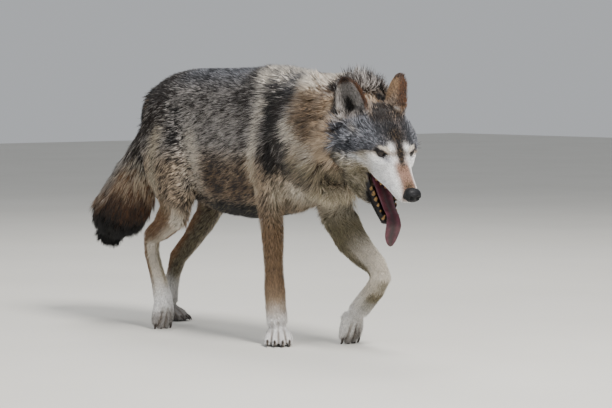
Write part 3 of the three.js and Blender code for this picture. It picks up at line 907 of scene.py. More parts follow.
# %% Palette
BLACK = tone("151313")
UMBER = tone("2d2623")
SLATE = tone("35373d")
ASH = tone("b3ada8")
STEEL = tone("9a9ca4")
SAND = tone("bda88f")
TAN = tone("977b5e")
RUST = tone("6b4426")
OAT = tone("c4b8a3")
CREAM = tone("dbd2c4")
WHITE = tone("faf9f8")
OLIVE = tone("8d8369")
ROSE = tone("b08d7b")


# %% Paint the markings
def body_looks(points, wander, paint):
    """Paints the trunk, the shoulder and the mane, from masks of the view from the side."""
    x, y, z = (points - LAYOUT).T
    seen = np.stack([x, np.zeros(len(points)), z], axis=1)
    near_side = 1 - 0.55 * ease(points[:, 1], 0.0, 0.09)

    def band(line, width, ragged=0.7):
        """A soft band along a line: a bell of the distance over the width."""
        gap, _ = along_line(seen, [(a, 0, b) for a, b in line])
        return np.exp(-((gap / width) ** 2)) * (1 + ragged * wander) * near_side

    # the trunk, from the spine downward
    paint(ease(z, 0.62, 0.52), ASH, UMBER, 0.48)
    paint(ease(z, 0.50, 0.42), SAND, UMBER, 0.55)
    paint(ease(z, 0.62, 0.68) * ease(x, 0.10, 0.04), STEEL, SLATE, 0.62)
    paint(ease(x, -0.18, -0.26) * ease(z, 0.44, 0.54), ASH, UMBER, 0.84)
    paint(ease(x, -0.20, -0.26) * ease(z, 0.42, 0.36), SAND, UMBER, 0.42)
    paint(band([(-0.13, 0.50), (-0.115, 0.45), (-0.12, 0.40)], 0.034), CREAM, UMBER, 0.24)
    paint(band([(-0.04, 0.40), (0.03, 0.385), (0.10, 0.39)], 0.050), TAN, UMBER, 0.62)
    # the underside of the belly is painted near-black: partly its own dark brown, partly painted
    # shade beneath the body
    under = ease(z, 0.352, 0.332) * ease(x, 0.19, 0.15) * ease(x, -0.14, -0.10)
    paint(under, OLIVE, BLACK, 0.84)
    paint(band([(-0.235, 0.52), (-0.25, 0.45), (-0.25, 0.38)], 0.026), OAT, UMBER, 0.36)
    paint(band([(-0.19, 0.58), (-0.185, 0.50)], 0.016), ASH, BLACK, 0.74)
    paint(ease(x, -0.30, -0.35) * ease(z, 0.38, 0.46), TAN, BLACK, 0.84)
    paint(ease(x, -0.30, -0.36) * ease(z, 0.42, 0.38), TAN, RUST, 0.45)
    # the shoulder: withers pale, a dark patch, and the pale band behind it
    paint(band([(0.25, 0.60), (0.25, 0.52), (0.24, 0.45)], 0.042), ASH, UMBER, 0.80)
    paint(ease(x, 0.12, 0.17) * ease(x, 0.28, 0.23) * ease(z, 0.46, 0.42), SAND, UMBER, 0.5)
    paint(ease(z, 0.62, 0.67) * ease(x, 0.10, 0.16) * near_side, CREAM, SLATE, 0.42)
    paint(ease(z, 0.60, 0.64) * ease(x, 0.21, 0.25) * ease(x, 0.33, 0.29), ASH, SLATE, 0.58)
    behind = [(0.11, 0.69), (0.15, 0.64), (0.175, 0.59), (0.16, 0.50), (0.135, 0.46), (0.135, 0.42)]
    paint(band(behind, 0.014), CREAM, UMBER, 0.24)
    paint(band([(0.135, 0.44), (0.15, 0.37)], 0.02), OAT, TAN, 0.25)
    paint(band([(0.203, 0.62), (0.213, 0.52), (0.212, 0.43)], 0.013, 0.2), UMBER, BLACK, 1.0)
    paint(band([(0.095, 0.66), (0.125, 0.58), (0.115, 0.50)], 0.012, 0.4), ASH, UMBER, 0.86)
    paint(ease(z, 0.41, 0.36) * ease(x, 0.19, 0.23), OAT, OLIVE, 0.25)
    # the mane and the ruff
    mane = ease(x, 0.275, 0.31) * ease(z, 0.42, 0.47)
    paint(mane * (1 + 0.3 * wander), SAND, TAN, 0.35)
    paint(mane * bump_at(seen, (0.35, 0, 0.56), (0.05, 1, 0.06)), TAN, UMBER, 0.56)
    paint(mane * ease(z, 0.61, 0.655) * ease(x, 0.39, 0.35), CREAM, TAN, 0.22)
    paint(mane * ease(z, 0.60, 0.64) * ease(x, 0.355, 0.39), ASH, UMBER, 0.76)
    paint(band([(0.275, 0.545), (0.31, 0.50), (0.36, 0.465)], 0.019), CREAM, SLATE, 0.14)
    paint(band([(0.30, 0.445), (0.35, 0.43), (0.41, 0.405)], 0.026), OLIVE, UMBER, 0.40)
    paint(ease(z, 0.40, 0.37) * ease(x, 0.29, 0.34), OAT, OLIVE, 0.4)
    paint(bump_at(seen, (0.245, 0, 0.375), (0.03, 1, 0.03)), CREAM, OLIVE, 0.2)


def limb_looks(points, normals, wander, paint):
    """Paints the legs, down to white paws with painted shade in the furrows between the toes, and the
    tail; the far legs get painted shade.
    """
    x, y, z = (points - LAYOUT).T
    ahead, left, up = normals.T
    for name in LEGS:
        gap, share = along_line(points, leg_lines[name])
        leg = ease(gap, 0.078, 0.055) * ease(z + 0.02 * wander, 0.40, 0.27)
        fore, near = "fore" in name, "right" in name
        if fore and near:
            paint(leg, TAN, UMBER, 0.30)
            paint(leg * ease(share, 0.45, 0.75), SAND, TAN, 0.45)
            paint(leg * ease(ahead, -0.5, -0.85), OAT, SAND, 0.1)
        elif fore:
            paint(leg, CREAM, OLIVE, 0.12)
            # painted shade on the far foreleg: darker at the top, under the chest, and on the sides
            # that face down and back
            paint(leg * ease(share, 0.34, 0.12), OLIVE, UMBER, 0.15)
            paint(leg * ease(up + 0.4 * ahead, -0.05, -0.35), OLIVE, UMBER, 0.3)
        else:
            # the near hind leg takes its own oat colour; the far hind leg is painted darker olive and
            # umber, as painted shade
            paint(leg, *((OAT, OLIVE, 0.35) if near else (OLIVE, UMBER, 0.48)))
            paint(leg * near * ease(share, 0.40, 0.15), TAN, UMBER, 0.32)
            rear = ease(ahead + 0.3 * wander, 0.42, -0.30)
            paint(leg * rear * ease(share, 0.80, 0.58), TAN, RUST, 0.62)
            # the near hind leg's front is cream; on the far hind leg the front is painted darker, as
            # painted shade
            front = ease(ahead, 0.0, 0.5) * ease(-left if near else left, -0.3, 0.2)
            paint(leg * front, *((CREAM, OAT, 0.1) if near else (OAT, UMBER, 0.4)))
        sock = ease(share + 0.08 * wander, 0.58, 0.90 if fore and near else 0.80)
        # the far legs' white socks are laid more thinly, as painted shade
        paint(leg * sock * (1 if near else 0.8), WHITE, ASH, 0.2)
        toes = ease(share, 0.86, 0.97) * (ease(wander, 0.0, 0.6) if fore else 0.8)
        paint(leg * toes, ASH, UMBER, 0.36)
    # painted shade in the furrows between the toes
    paint(creases(points) * 0.6, TAN, UMBER, 0.6)
    gap, share = along_line(points, tail_line)
    tail = ease(gap, 0.10, 0.08) * ease(x, -0.385, -0.42)
    top = ease(normals @ unit(np.array([-0.75, 0, 0.66])), -0.2, 0.5)
    paint(tail, OAT, UMBER, 0.42)
    paint(tail * ease(share, 0.15, 0.45), SAND, RUST, 0.5)
    paint(tail * (1 - top) * ease(share, 0.4, 0.65), RUST, UMBER, 0.62)
    paint(tail * top * ease(share, 0.8, 0.5), ASH, UMBER, 0.42)
    share = share + 0.05 * wander
    paint(tail * ease(share, 0.30, 0.04), ASH, UMBER, 0.72)
    paint(tail * ease(share, 0.70, 0.86), 0.4 * BLACK, 0.4 * BLACK, 0.9)


def head_looks(points, normals, wander, paint):
    """Paints the head, in forward (a), left (c, both sides alike) and up (b), and the ears."""
    x, y, z = (points - LAYOUT).T
    a, c, b = to_head(points).T
    c = np.abs(c)
    on_head = ease(x, 0.425, 0.445) * ease(a, -150, -122) * ease(z, 0.28, 0.31)
    ragged = 10 * wander

    def face(mask, *look):
        paint(on_head * mask, *look)

    def spot(centre, radii, strength=1):
        return strength * bump_at(np.stack([a, c, b], axis=1), centre, radii)

    face(1, SAND, UMBER, 0.5)
    face(ease(b + ragged, 0, 20) * ease(a + ragged, -98, -66), STEEL, SLATE, 0.80)
    face(spot((-18, 0, 42), (34, 28, 24), 1.2), TAN, BLACK, 0.82)
    face(spot((-98, 0, 58), (44, 54, 30), 1.4), TAN, UMBER, 0.88)
    rim = -7 + 0.60 * (a + 5) + ragged  # from the eye's outer corner down to the ruff
    face(ease(b, rim - 8, rim + 8) * ease(a, 0, -16) * ease(c, 38, 56), STEEL, SLATE, 0.58)
    face(spot((-84, 78, 10), (20, 26, 9), 0.5), OAT, UMBER, 0.45)
    low = ease(b, rim + 5, rim - 10) * ease(c, 18, 30)
    face(low * ease(a, -104, -84), CREAM, OLIVE, 0.35)
    face(low * ease(a + 0.6 * ragged, -28, 6), WHITE, STEEL, 0.10)
    face(low * spot((-44, 80, -44), (40, 30, 10)), WHITE, STEEL, 0.14)
    face(low * ease(b + ragged, -58, -84) * ease(a, 10, -20), OAT, OLIVE, 0.6)
    face(low * ease(a + ragged, -72, -92) * ease(b, -22, -50), STEEL, UMBER, 0.6)
    face(spot((-74, 92, -48), (16, 20, 38), 1.4), STEEL, SLATE, 0.84)
    face(ease(b, -112, -126) * ease(a, 0, -30), OLIVE, UMBER, 0.4)
    face(ease(b, -100, -112) * ease(a, -16, -4), UMBER, BLACK, 0.6)
    muzzle = ease(a + 0.5 * ragged, 8, 28) * ease(b, 14, 0) * ease(b, -92, -86)
    face(muzzle, WHITE, STEEL, 0.03)
    bridge = ease(a + ragged, 20, 44) * ease(c + 0.3 * ragged, 27, 12) * ease(b, -70, -46)
    face(bridge, ROSE, UMBER, 0.25)
    face(spot((98, 0, -30), (16, 13, 14)), TAN, UMBER, 0.6)
    face(spot((10, 22, 21), (13, 11, 9), 1.7), WHITE, ASH, 0.15)
    face(spot((20, 0, 8), (26, 9, 30), 1.5), TAN, BLACK, 0.88)
    face(spot((18, 30, -6), (12, 8, 9)), STEEL, ASH, 0.4)
    for side in (-1, 1):
        far, outside = eye_view(points, side)
        above = ease((points - EYES[side]) @ eye_axes(side)[2] / MM, 1, 6)
        lid = ease(outside, 4.2, 5.4) * ease(outside, 11, 8) * ease(far, 24 * MM, 20 * MM)
        face(above * lid, CREAM, ASH, 0.2)
    # the ears: rusty backs with dark rims; inside, grey hair over painted shade in the hollow
    on_ear, share, hollow, across = ear_view(points, normals)
    on_ear = on_ear * ease(x, 0.425, 0.445)
    inside = on_ear * ease(hollow, 0.0, 0.4) * ease(share, 1.0, 0.86)
    pit = bump_at(np.stack([across, share], axis=1), (-0.28, 0.34), (0.28, 0.22))
    paint(on_ear, TAN, UMBER, 0.36)
    paint(inside, ASH, UMBER, 0.24)
    paint(inside * ease(across, -0.35, -0.75), ASH, UMBER, 0.30)
    # painted shade in the pit of the ear's hollow
    paint(inside * pit * 1.3, UMBER, BLACK, 0.7)
    paint(on_ear * ease(across, 0.62, 0.88) * ease(share, 0.05, 0.3), RUST, UMBER, 0.55)
    paint(on_ear * ease(share, 0.80, 0.95), RUST, UMBER, 0.75)
    paint(on_ear * ease(across, -0.80, -0.98) * ease(share, 0.05, 0.25), UMBER, BLACK, 0.7)
    face(spot((-114, 0, 66), (32, 24, 28), 1.3), ASH, UMBER, 0.82)


def markings(points, normals):
    """The pale colour, the dark colour and the share of dark hairs at each point. Each coat
    of paint is laid as: look = look + mask * (new look - look)."""
    looks = np.tile(np.hstack([ASH, UMBER, 0.60]), (len(points), 1))
    wander = noise(points, 0.045, 3) * 0.6 + noise(points, 0.018, 4) * 0.4

    def paint(mask, pale, dark, share):
        looks[:] += np.clip(mask, 0, 1)[:, None] * (np.hstack([pale, dark, share]) - looks)

    body_looks(points, wander, paint)
    limb_looks(points, normals, wander, paint)
    head_looks(points, normals, wander, paint)
    return looks[:, :3], looks[:, 3:6], np.clip(looks[:, 6] * (1 + 0.25 * wander), 0, 1)


# %% Bare skin: lips, lid rims, pads
def bare_masks(points, normals):
    """Soft masks of the lids' dark rims, the mouth's lining, the lips and the soles."""
    rims = np.zeros(len(points))
    for side in (-1, 1):
        far, outside = eye_view(points, side)
        seen = (points - EYES[side]) @ eye_axes(side).T / EYE_RADIUS
        corners = bump_at(seen, (0.9, 1.3, -0.22), (1.2, 0.42, 0.17))
        corners += bump_at(seen, (0.6, -1.25, 0.1), (1.2, 0.3, 0.13))
        dark = np.maximum(ease(outside, 4.2, 2.8), ease(corners, 0.3, 0.6))
        rims = np.maximum(rims, ease(far, 22 * MM, 18 * MM) * dark)
    a, c, b = to_head(points).T
    c = np.abs(c)
    ahead = points[:, 0] > 0.42
    lip_line = np.interp(a, [-34, -20, 60, 112], [-86, -87, -77, -69])
    jaw_line = np.interp(a, [-46, -34, 8, 46, 74, 92], [-84, -88, -106, -127, -142, -150])
    mouth = ease(b, lip_line + 1.5, lip_line - 1.5) * ease(b, jaw_line - 4, jaw_line + 1)
    mouth *= ease(a, -44, -36) * ahead
    lips = ease(b, lip_line + 3.2 + 5 * ease(a, 50, 95), lip_line + 1)
    lips *= ease(b, lip_line - 6, lip_line - 3) * ease(a, -44, -30) * ease(c, 8, 14)
    chin = ease(b, jaw_line + 12, jaw_line + 4) * ease(b, jaw_line - 16, jaw_line - 11)
    chin *= ease(a, -30, -12) * ease(c, 5, 10)
    chin = np.maximum(chin, ease(a, 66, 78) * ease(b, -120, -128))
    leather = bump_at(to_head(points), (117, 0, -40), (16, 25, 20)) > 0.4
    lips = np.maximum(np.maximum(lips, chin) * ahead, leather)
    return rims, np.clip(mouth, 0, 1), np.clip(lips, 0, 1), pad_mask(points, normals)


# %% [markdown]
# ## The skin piece
# The skin shows between the tufts, on the face and on the paws, where the fur is short. Its
# colour is the mean of the pale and dark hairs, a little darker. Fine bump stands for the
# short fur that lies flat, and bare places are smooth, dark and moist.

# %% Colour and build the skin
PAD = tone("2b2524")
GUM = tone("3a1517")
LID_RIM = tone("100d0d")
LIP = tone("151213")
SHADED = 0.78  # skin between the hairs is darker than their mean


def colour_attribute(obj, name, colours):
    layer = obj.data.color_attributes.new(name, "FLOAT_COLOR", "POINT")
    rgba = np.ones((len(colours), 4), dtype=np.float32)
    rgba[:, :3] = colours
    layer.data.foreach_set("color", rgba.ravel())


def value_attribute(obj, name, values):
    layer = obj.data.attributes.new(name, "FLOAT", "POINT")
    layer.data.foreach_set("value", np.asarray(values, dtype=np.float32))


pale, dark, share = markings(verts, normals)
rims, mouth, lips, pads = bare_masks(verts, normals)
flesh_colour = (pale + (dark - pale) * share[:, None]) * SHADED
for mask, colour in ((pads, PAD), (mouth, GUM), (lips, LIP), (rims, LID_RIM)):
    flesh_colour += mask[:, None] * (colour - flesh_colour)
for root, _, _ in EARS.values():  # painted shade deep at the ear roots, between the hairs
    flesh_colour *= 1 - 0.6 * bump_at(to_head(verts), root, (26, 26, 24))[:, None]
bare = np.max([rims, mouth, lips, pads], axis=0)

hide = Look("hide", Roughness=0.8, Specular_IOR_Level=0.25)
short_fur = hide.noise(900, 2)
nap = hide.noise(260, 4)
bareness = hide.attribute("bare", "Fac")
furred = 1.0 - bareness
tint = hide.ramp(short_fur, [(0.3, (0.62, 0.62, 0.62)), (0.7, (1.3, 1.3, 1.3))])
tint = hide.mix(bareness, tint, (1, 1, 1))
hide.feed(Base_Color=hide.mix(1.0, hide.attribute("fur"), tint, "MULTIPLY"))
hide.feed(Roughness=0.86 - 0.42 * bareness)
hide.bump(short_fur * furred + 0.5 * nap, 0.5, 0.0012)

skin = mesh_object("skin", verts, tris, hide)
colour_attribute(skin, "fur", flesh_colour)
value_attribute(skin, "bare", bare)
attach(skin, "root")
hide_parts(*FLESH)
print("skin triangles:", len(tris))

# %% [markdown]
# ## The coat as tufts
# A tuft is a lock of hairs: a closed spindle with its root in the skin, a ring of three
# vertices near the middle and a sharp tip, six faces in all. Roots are scattered over the
# skin's triangles by area and by how fine the coat is there. Each tuft follows the lie of the
# coat, lifts to the depth of the coat at its tip, and leans towards the middle of its lock, so
# that the coat breaks into pointed clumps as real fur does.

# %% Fields on the skin
def bald_margin(points):
    """1 where no tuft may root: close round the eyes and under the nose pad."""
    near = np.zeros(len(points))
    for side in (-1, 1):
        far, outside = eye_view(points, side)
        near = np.maximum(near, ease(far, 22 * MM, 18 * MM) * ease(outside, 4.6, 3.2))
    return np.maximum(near, bump_at(to_head(points), (118, 0, -40), (16, 24, 20)) > 0.42)


fields = blend_guides(verts)
flow, hair_depth, hair_length = fields[:, :3], fields[:, 3], fields[:, 4]
on_ear, ear_share, hollow, _ = ear_view(verts, normals)
outer_ear = on_ear * ease(ear_share, 0.05, 0.35)
inner_ear = outer_ear * ease(hollow, 0.2, 0.5) * ease(ear_share, 0.95, 0.6)
sunk_here = np.concatenate([depth, np.full(len(verts) - len(depth), 1.0)])
hair_depth = np.minimum(hair_depth, 1.1 * sunk_here + 2 * MM)
for mask, deep, long in ((outer_ear, 2 * MM, 9 * MM), (inner_ear, 4 * MM, 17 * MM)):
    hair_depth = hair_depth + mask * (deep - hair_depth)
    hair_length = hair_length + mask * (long - hair_length)
bald = np.maximum(bare, bald_margin(verts))
FINE_MIN = 6 * MM


PARTS = {  # the body's parts for the unwrap: a name and a middle line each
    "head": from_head([(100, 0, -60), (20, 0, -60), (-90, 0, -50)]),
    "ear_right": from_head(EARS[-1][:2]),
    "ear_left": from_head(EARS[1][:2]),
    "neck": on_left([(0.42, 0, 0.52), (0.26, 0, 0.53)]),
    "trunk": on_left([(0.22, 0, 0.53), (-0.10, 0, 0.52), (-0.16, 0, 0.52)]),
    "hips": on_left([(-0.18, 0, 0.51), (-0.38, 0, 0.52)]),
    "tail": tail_line,
    **leg_lines,
}
PART_NAMES = list(PARTS)
PART_REACH = 0.12  # metres past the ends of a line
PART_BIAS = {"trunk": -0.10, "neck": -0.085, "hips": -0.10, "head": -0.055}


def part_of(points):
    """For each point: its part, its share of the way along the part's line, and its angle
    round the line, both from 0 to 1."""
    found = [along_line(points, PARTS[name]) for name in PART_NAMES]
    gaps = np.stack([gap + PART_BIAS.get(name, 0) for name, (gap, _) in zip(PART_NAMES, found)])
    which = np.argmin(gaps, axis=0)
    which = np.where(~in_ears(points) & np.isin(which, (1, 2)), 0, which)
    share = np.stack([part for _, part in found])[which, np.arange(len(points))]
    angle, extra = np.zeros((2, len(points)))
    for number, line in enumerate(PARTS.values()):
        mine = which == number
        axis = unit(line[-1] - line[0])
        side = unit(np.cross(axis, [0.13, 0.99, 0.05]))
        stops = np.linspace(0, 1, len(line))
        at = np.stack([np.interp(share[mine], stops, line[:, i]) for i in range(3)], axis=1)
        offset = points[mine] - at
        turned = np.arctan2(offset @ np.cross(axis, side), offset @ side)
        angle[mine] = turned / (2 * math.pi) + 0.5
        extra[mine] = np.clip(offset @ axis / PART_REACH, -0.5, 0.5)
    return which, np.clip(0.15 + 0.7 * share + 0.25 * extra, 0.01, 0.99), angle


centres = verts[tris].mean(axis=1)
corner, *others = (verts[tris[:, i]] for i in range(3))
areas = np.linalg.norm(np.cross(others[0] - corner, others[1] - corner), axis=1) / 2
tri_part, _, _ = part_of(centres)
tri_length = hair_length[tris].mean(axis=1)
tri_weight = areas * ease(bald[tris].mean(axis=1), 0.6, 0.2)
print("skin area m2:", round(float(areas.sum()), 3))

# %% Fur material
fur = Look("fur", Roughness=0.72, Specular_IOR_Level=0.2, Sheen_Weight=0.05)
strand = fur.noise(700, 2)
shade = fur.ramp(strand, [(0.3, (0.8, 0.8, 0.8)), (0.7, (1.15, 1.15, 1.15))])
fur.feed(Base_Color=fur.mix(1.0, fur.attribute("fur"), shade, "MULTIPLY"))
fur.bump(strand, 0.25, 0.0006)


# %% Grow tufts
def lock_middles(points, size, seed):
    """The nearest of a jittered lattice of lock middles, for each point."""
    cells = np.floor(points / size).astype(np.int64)
    best = np.full(len(points), np.inf)
    middle = np.zeros_like(points)
    for corner in np.ndindex(3, 3, 3):
        cell = cells + np.array(corner) - 1
        jitter = np.stack([hashed(cell, seed + i) for i in range(3)], axis=1)
        place = (cell + jitter) * size
        gap = ((points - place) ** 2).sum(axis=1)
        closer = gap < best
        best = np.where(closer, gap, best)
        middle = np.where(closer[:, None], place, middle)
    return middle


PATCH = 0.003  # a tuft's width in the unwrap
CLUMP = 0.4  # how far tips lean towards their lock's middle
RING_AT = 0.4  # where the ring sits along the tuft
ROOTED = 0.6 * MM  # how deep roots reach into the skin
TUFT_FACES = np.array([[0, 2, 1], [0, 3, 2], [0, 1, 3], [4, 1, 2], [4, 2, 3], [4, 3, 1]])
TUFT_PATCH = np.array([[0.5, 0], [0.15, 0.45], [0.85, 0.45], [0.5, 0.55], [0.5, 1]]) * PATCH
rng = np.random.default_rng(7)


def level(rows, normal):
    """What is left of the rows when their part along the normal is taken away."""
    return rows - (rows * normal).sum(axis=1, keepdims=True) * normal


def roots_on(chosen, count, finer):
    """Random places on the chosen triangles: their numbers and the three corner weights."""
    weight = tri_weight * (0.02 / np.maximum(tri_length, FINE_MIN)) ** finer
    weight = np.where(chosen, weight, 0)
    picked = rng.choice(len(tris), count, p=weight / weight.sum())
    mixing = rng.random((count, 2))
    mixing = np.where(mixing.sum(axis=1, keepdims=True) > 1, 1 - mixing, mixing)
    return picked, np.concatenate([1 - mixing.sum(axis=1, keepdims=True), mixing], axis=1)


def tuft_colours(root, tip, normal, length, dark_root, speck_size, speck_weight):
    """Five colours for each tuft: base, ring and tip. Pale or dark is drawn for the ring and for the
    tip, partly by a speck that neighbours share; the base is painted darker as shade, and the ring's
    outer vertex a little lighter as a painted highlight."""
    count = len(root)
    pale, dark, share = markings(root + (tip - root) * rng.uniform(0.2, 1.1, (count, 1)), normal)
    speck = hashed(np.floor(lock_middles(root, speck_size, 57) / (0.1 * MM)), 5)
    chance = (1 - speck_weight) * rng.random((2, count)) + speck_weight * speck
    is_dark, dark_end = ease(chance, share + 0.07, share - 0.07)[:, :, None]
    light = rng.uniform(0.75, 1.22, (count, 1))
    body, end = ((pale + (dark - pale) * part) * light for part in (is_dark, dark_end))
    short = ease(length, 18 * MM, 6 * MM)[:, None]
    # painted shade at the base of each tuft, deeper for long hair
    under = body * (0.5 + 0.42 * short) + dark * 0.12 * (1 - short)
    end = end * (1.08 - 0.25 * dark_end)
    # the ring's outer vertex is a little lighter, a painted highlight
    return np.stack([under, body, body, body * 1.03, end], axis=1) * (1 - 0.5 * dark_root)


def unwrap(made, parts, root, faces):
    """The map OFBake: each part has a tile, and each tuft a small patch at its root's place."""
    which, rise, turn = part_of(root)
    rows = math.ceil(math.sqrt(len(parts)))
    order = np.array([parts.index(name) if name in parts else 0 for name in PART_NAMES])[which]
    tile = np.stack([order % rows, order // rows], axis=1)
    home = (tile + 0.01 + 0.97 * np.stack([turn, rise], axis=1)) / rows
    uv = np.clip(home[:, None] + TUFT_PATCH[None], 0, 1).reshape(-1, 2)
    layer = made.data.uv_layers.new(name="OFBake")
    layer.data.foreach_set("uv", uv[faces.ravel()].astype(np.float32).ravel())


def grow(name, parts, count, slot, width, clump_size, finer, side, speck_size, speck_weight):
    """Scatters tufts over some parts of the body and joins them into one piece.

    Tip = root + length * (lie * cos(lift) + normal * sin(lift)) + clump * (lock middle - root),
    with sin(lift) = depth / length; the ring sits at four tenths, raised a little more."""
    chosen = np.isin(tri_part, [PART_NAMES.index(part) for part in parts])
    if side:
        chosen &= centres[:, 1] * side > 0
    picked, corners = roots_on(chosen, count, finer)

    def pick(values):
        shape = (count, 3) + (1,) * (values.ndim - 1)
        return (values[tris[picked]] * corners.reshape(shape)).sum(axis=1)

    root, normal = pick(verts), unit(pick(normals))
    length = pick(hair_length) * rng.uniform(0.72, 1.12, count)
    deep = pick(hair_depth) * rng.uniform(0.7, 1.12, count)
    lie = pick(flow) + 0.22 * np.stack([noise(root, 0.03, 11 + i) for i in range(3)], axis=1)
    lie = unit(level(lie + rng.normal(0, 0.10, (count, 3)), normal))
    lift = np.clip(deep / length, 0.05, 0.75)
    along = lie * (length * np.sqrt(1 - lift**2))[:, None]
    pull = level(lock_middles(root, clump_size, 31) - root, normal)
    size = np.linalg.norm(pull, axis=1, keepdims=True)
    pull *= CLUMP * np.minimum(1, 1.2 * clump_size / np.maximum(size, 1e-9))
    tip = root + along + normal * (length * lift)[:, None] + pull
    middle = root + RING_AT * along + 0.25 * pull + normal * (0.62 * deep)[:, None]
    slim = np.clip(length / (24 * MM), 0.6, 1)
    half = (width * rng.uniform(0.6, 1.25, count) * slim * MM / 2)[:, None]
    across = half * np.cross(normal, lie)
    low = middle - 0.2 * half * normal
    ring = [low + across, low - across, middle + 0.55 * half * normal]
    points = np.stack([root - normal * ROOTED, *ring, tip], axis=1)
    points[:, :, 2] = np.maximum(points[:, :, 2], 0.4 * MM)
    faces = (TUFT_FACES + 5 * np.arange(count)[:, None, None]).reshape(-1, 3)
    dark_root = pick(bare)[:, None, None]
    colours = tuft_colours(root, tip, normal, length, dark_root, speck_size, speck_weight)
    made = mesh_object(name, points.reshape(-1, 3), faces, fur)
    colour_attribute(made, "fur", colours.reshape(-1, 3))
    unwrap(made, parts, root, faces)
    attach(made, "root")
    print(name, "tufts:", count, "triangles:", len(faces))


FEW = 1.0
EAR_PARTS = ["ear_right", "ear_left"]
COAT = [  # piece, parts, tufts, slot, width mm, lock, finer, side, speck size, speck weight
    ("coat_head", ["head"], 33000, "fur_face", 1.5, 5, 1.0, 0, 3.5, 0.35),
    ("coat_ears", EAR_PARTS, 8000, "fur_tan", 1.1, 4, 0.0, 0, 3, 0.15),
    ("coat_neck_right", ["neck"], 27000, "fur_mane", 2.1, 14, 0.0, -1, 9, 0.5),
    ("coat_neck_left", ["neck"], 24000, "fur_mane", 2.1, 14, 0.0, 1, 9, 0.5),
    ("coat_trunk_right", ["trunk"], 33000, "fur_back", 2.1, 9, 0.0, -1, 7, 0.5),
    ("coat_trunk_left", ["trunk"], 29000, "fur_back", 2.1, 9, 0.0, 1, 7, 0.5),
    ("coat_hips", ["hips"], 33000, "fur_back", 2.2, 9, 0.0, 0, 7, 0.5),
    ("coat_forelegs", LEGS[:2], 24000, "fur_tan", 1.4, 6, 0.3, 0, 4, 0.25),
    ("coat_hindlegs", LEGS[2:], 24000, "fur_pale", 1.5, 6, 0.3, 0, 4, 0.25),
    ("coat_tail", ["tail"], 18000, "fur_brush", 2.3, 16, 0.0, 0, 9, 0.35),
]
for name, parts, count, slot, width, clump, finer, side, speck, mottled in COAT:
    sizes = width / math.sqrt(FEW), clump * MM
    grow(name, parts, int(count * FEW), slot, *sizes, finer, side, speck * MM, mottled)

# %% [markdown]
# ## Lofted pieces
# Tongue, teeth, claws and nose are rounded bodies along a path. Each station gives a centre,
# a half width, and how far the body reaches up and down; between stations the numbers run on
# a Catmull-Rom curve, and each end is closed by a dome.

# %% Loft
def smooth_rows(rows, steps):
    """Catmull-Rom: each span is a cubic that passes through its ends with the mean slopes."""
    rows = np.asarray(rows, dtype=float)
    padded = np.vstack([2 * rows[0] - rows[1], rows, 2 * rows[-1] - rows[-2]])
    t = np.linspace(0, 1, steps, endpoint=False)[:, None]
    spans = []
    for p0, p1, p2, p3 in zip(padded[:-3], padded[1:-2], padded[2:-1], padded[3:]):
        slope_in, slope_out = (p2 - p0) / 2, (p3 - p1) / 2
        cubic = 2 * p1 - 2 * p2 + slope_in + slope_out
        square = 3 * p2 - 3 * p1 - 2 * slope_in - slope_out
        spans.append(p1 + t * (slope_in + t * (square + t * cubic)))
    return np.vstack([*spans, rows[-1:]])


def tube_faces(count, around):
    """Triangles of a closed tube: one pole, `count` rings of `around` vertices, and a pole."""
    k = np.arange(around)
    nxt = (k + 1) % around
    first = 1 + np.arange(count - 1)[:, None] * around
    a, b, c, d = first + k, first + nxt, first + around + nxt, first + around + k
    last = 1 + (count - 1) * around
    ends = [
        np.stack([np.zeros(around, int), 1 + nxt, 1 + k], -1),
        np.stack([np.full(around, last + around), last + k, last + nxt], -1),
    ]
    walls = [np.stack(corners, -1).reshape(-1, 3) for corners in ([a, b, c], [a, c, d])]
    return np.vstack([*walls, *ends])


def loft(rows, side=(0, 1, 0), around=24, steps=6, square=2.0, dome=0.7, caps=5):
    """Places, triangles, the share along the path and the angle of each vertex.

    Ring point = centre + half * cos(angle) * side + reach * sin(angle) * over, with cosine and
    sine raised to 2 / square; the domes shrink rings as a quarter circle."""
    rows = smooth_rows(rows, steps)
    centre = rows[:, :3]
    way = unit(np.gradient(centre, axis=0))
    side = unit(np.array(side, dtype=float) - (way @ np.array(side, dtype=float))[:, None] * way)
    over = np.cross(way, side)
    turn = math.pi / 2
    reach = np.sin(np.linspace(0, 1, caps + 1)[:-1] * turn + turn / (caps + 1))
    ends = []
    for end, sign in ((0, -1), (-1, 1)):
        bulge = dome * min(rows[end, 3], (rows[end, 4] + rows[end, 5]) / 2)
        shift = centre[end] + sign * bulge * reach[:, None] * way[end]
        size = np.sqrt(1 - reach**2)[:, None] * rows[end, 3:]
        ends.append((shift, size, centre[end] + sign * bulge * way[end]))
    (shift0, size0, pole0), (shift1, size1, pole1) = ends
    centre = np.vstack([shift0[::-1], centre, shift1])
    sizes = np.vstack([size0[::-1], rows[:, 3:], size1])
    side, over = (np.pad(part, [(caps, caps), (0, 0)], "edge") for part in (side, over))
    angle = np.arange(around) * 2 * math.pi / around
    out, rise = (np.sign(w) * np.abs(w) ** (2 / square) for w in (np.cos(angle), np.sin(angle)))
    up_down = np.where(rise > 0, sizes[:, 1:2] * rise, sizes[:, 2:3] * rise)
    rings = (sizes[:, :1] * out)[..., None] * side[:, None] + up_down[..., None] * over[:, None]
    rings = (centre[:, None] + rings).reshape(-1, 3)
    count = len(centre)
    along = np.concatenate([[0], np.repeat(np.linspace(0, 1, count), around), [1]])
    angle = np.concatenate([[0], np.tile(angle, count), [0]])
    return np.vstack([pole0, rings, pole1]), tube_faces(count, around), along, angle


def finished(name, places, faces, look, slot, *nodes):
    """A piece that rides on the body and replaces nodes; its slot argument is not used."""
    made = mesh_object(name, places, faces, look)
    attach(made, "root")
    if nodes:
        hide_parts(*nodes)
    print(name, "triangles:", len(faces))
    return made


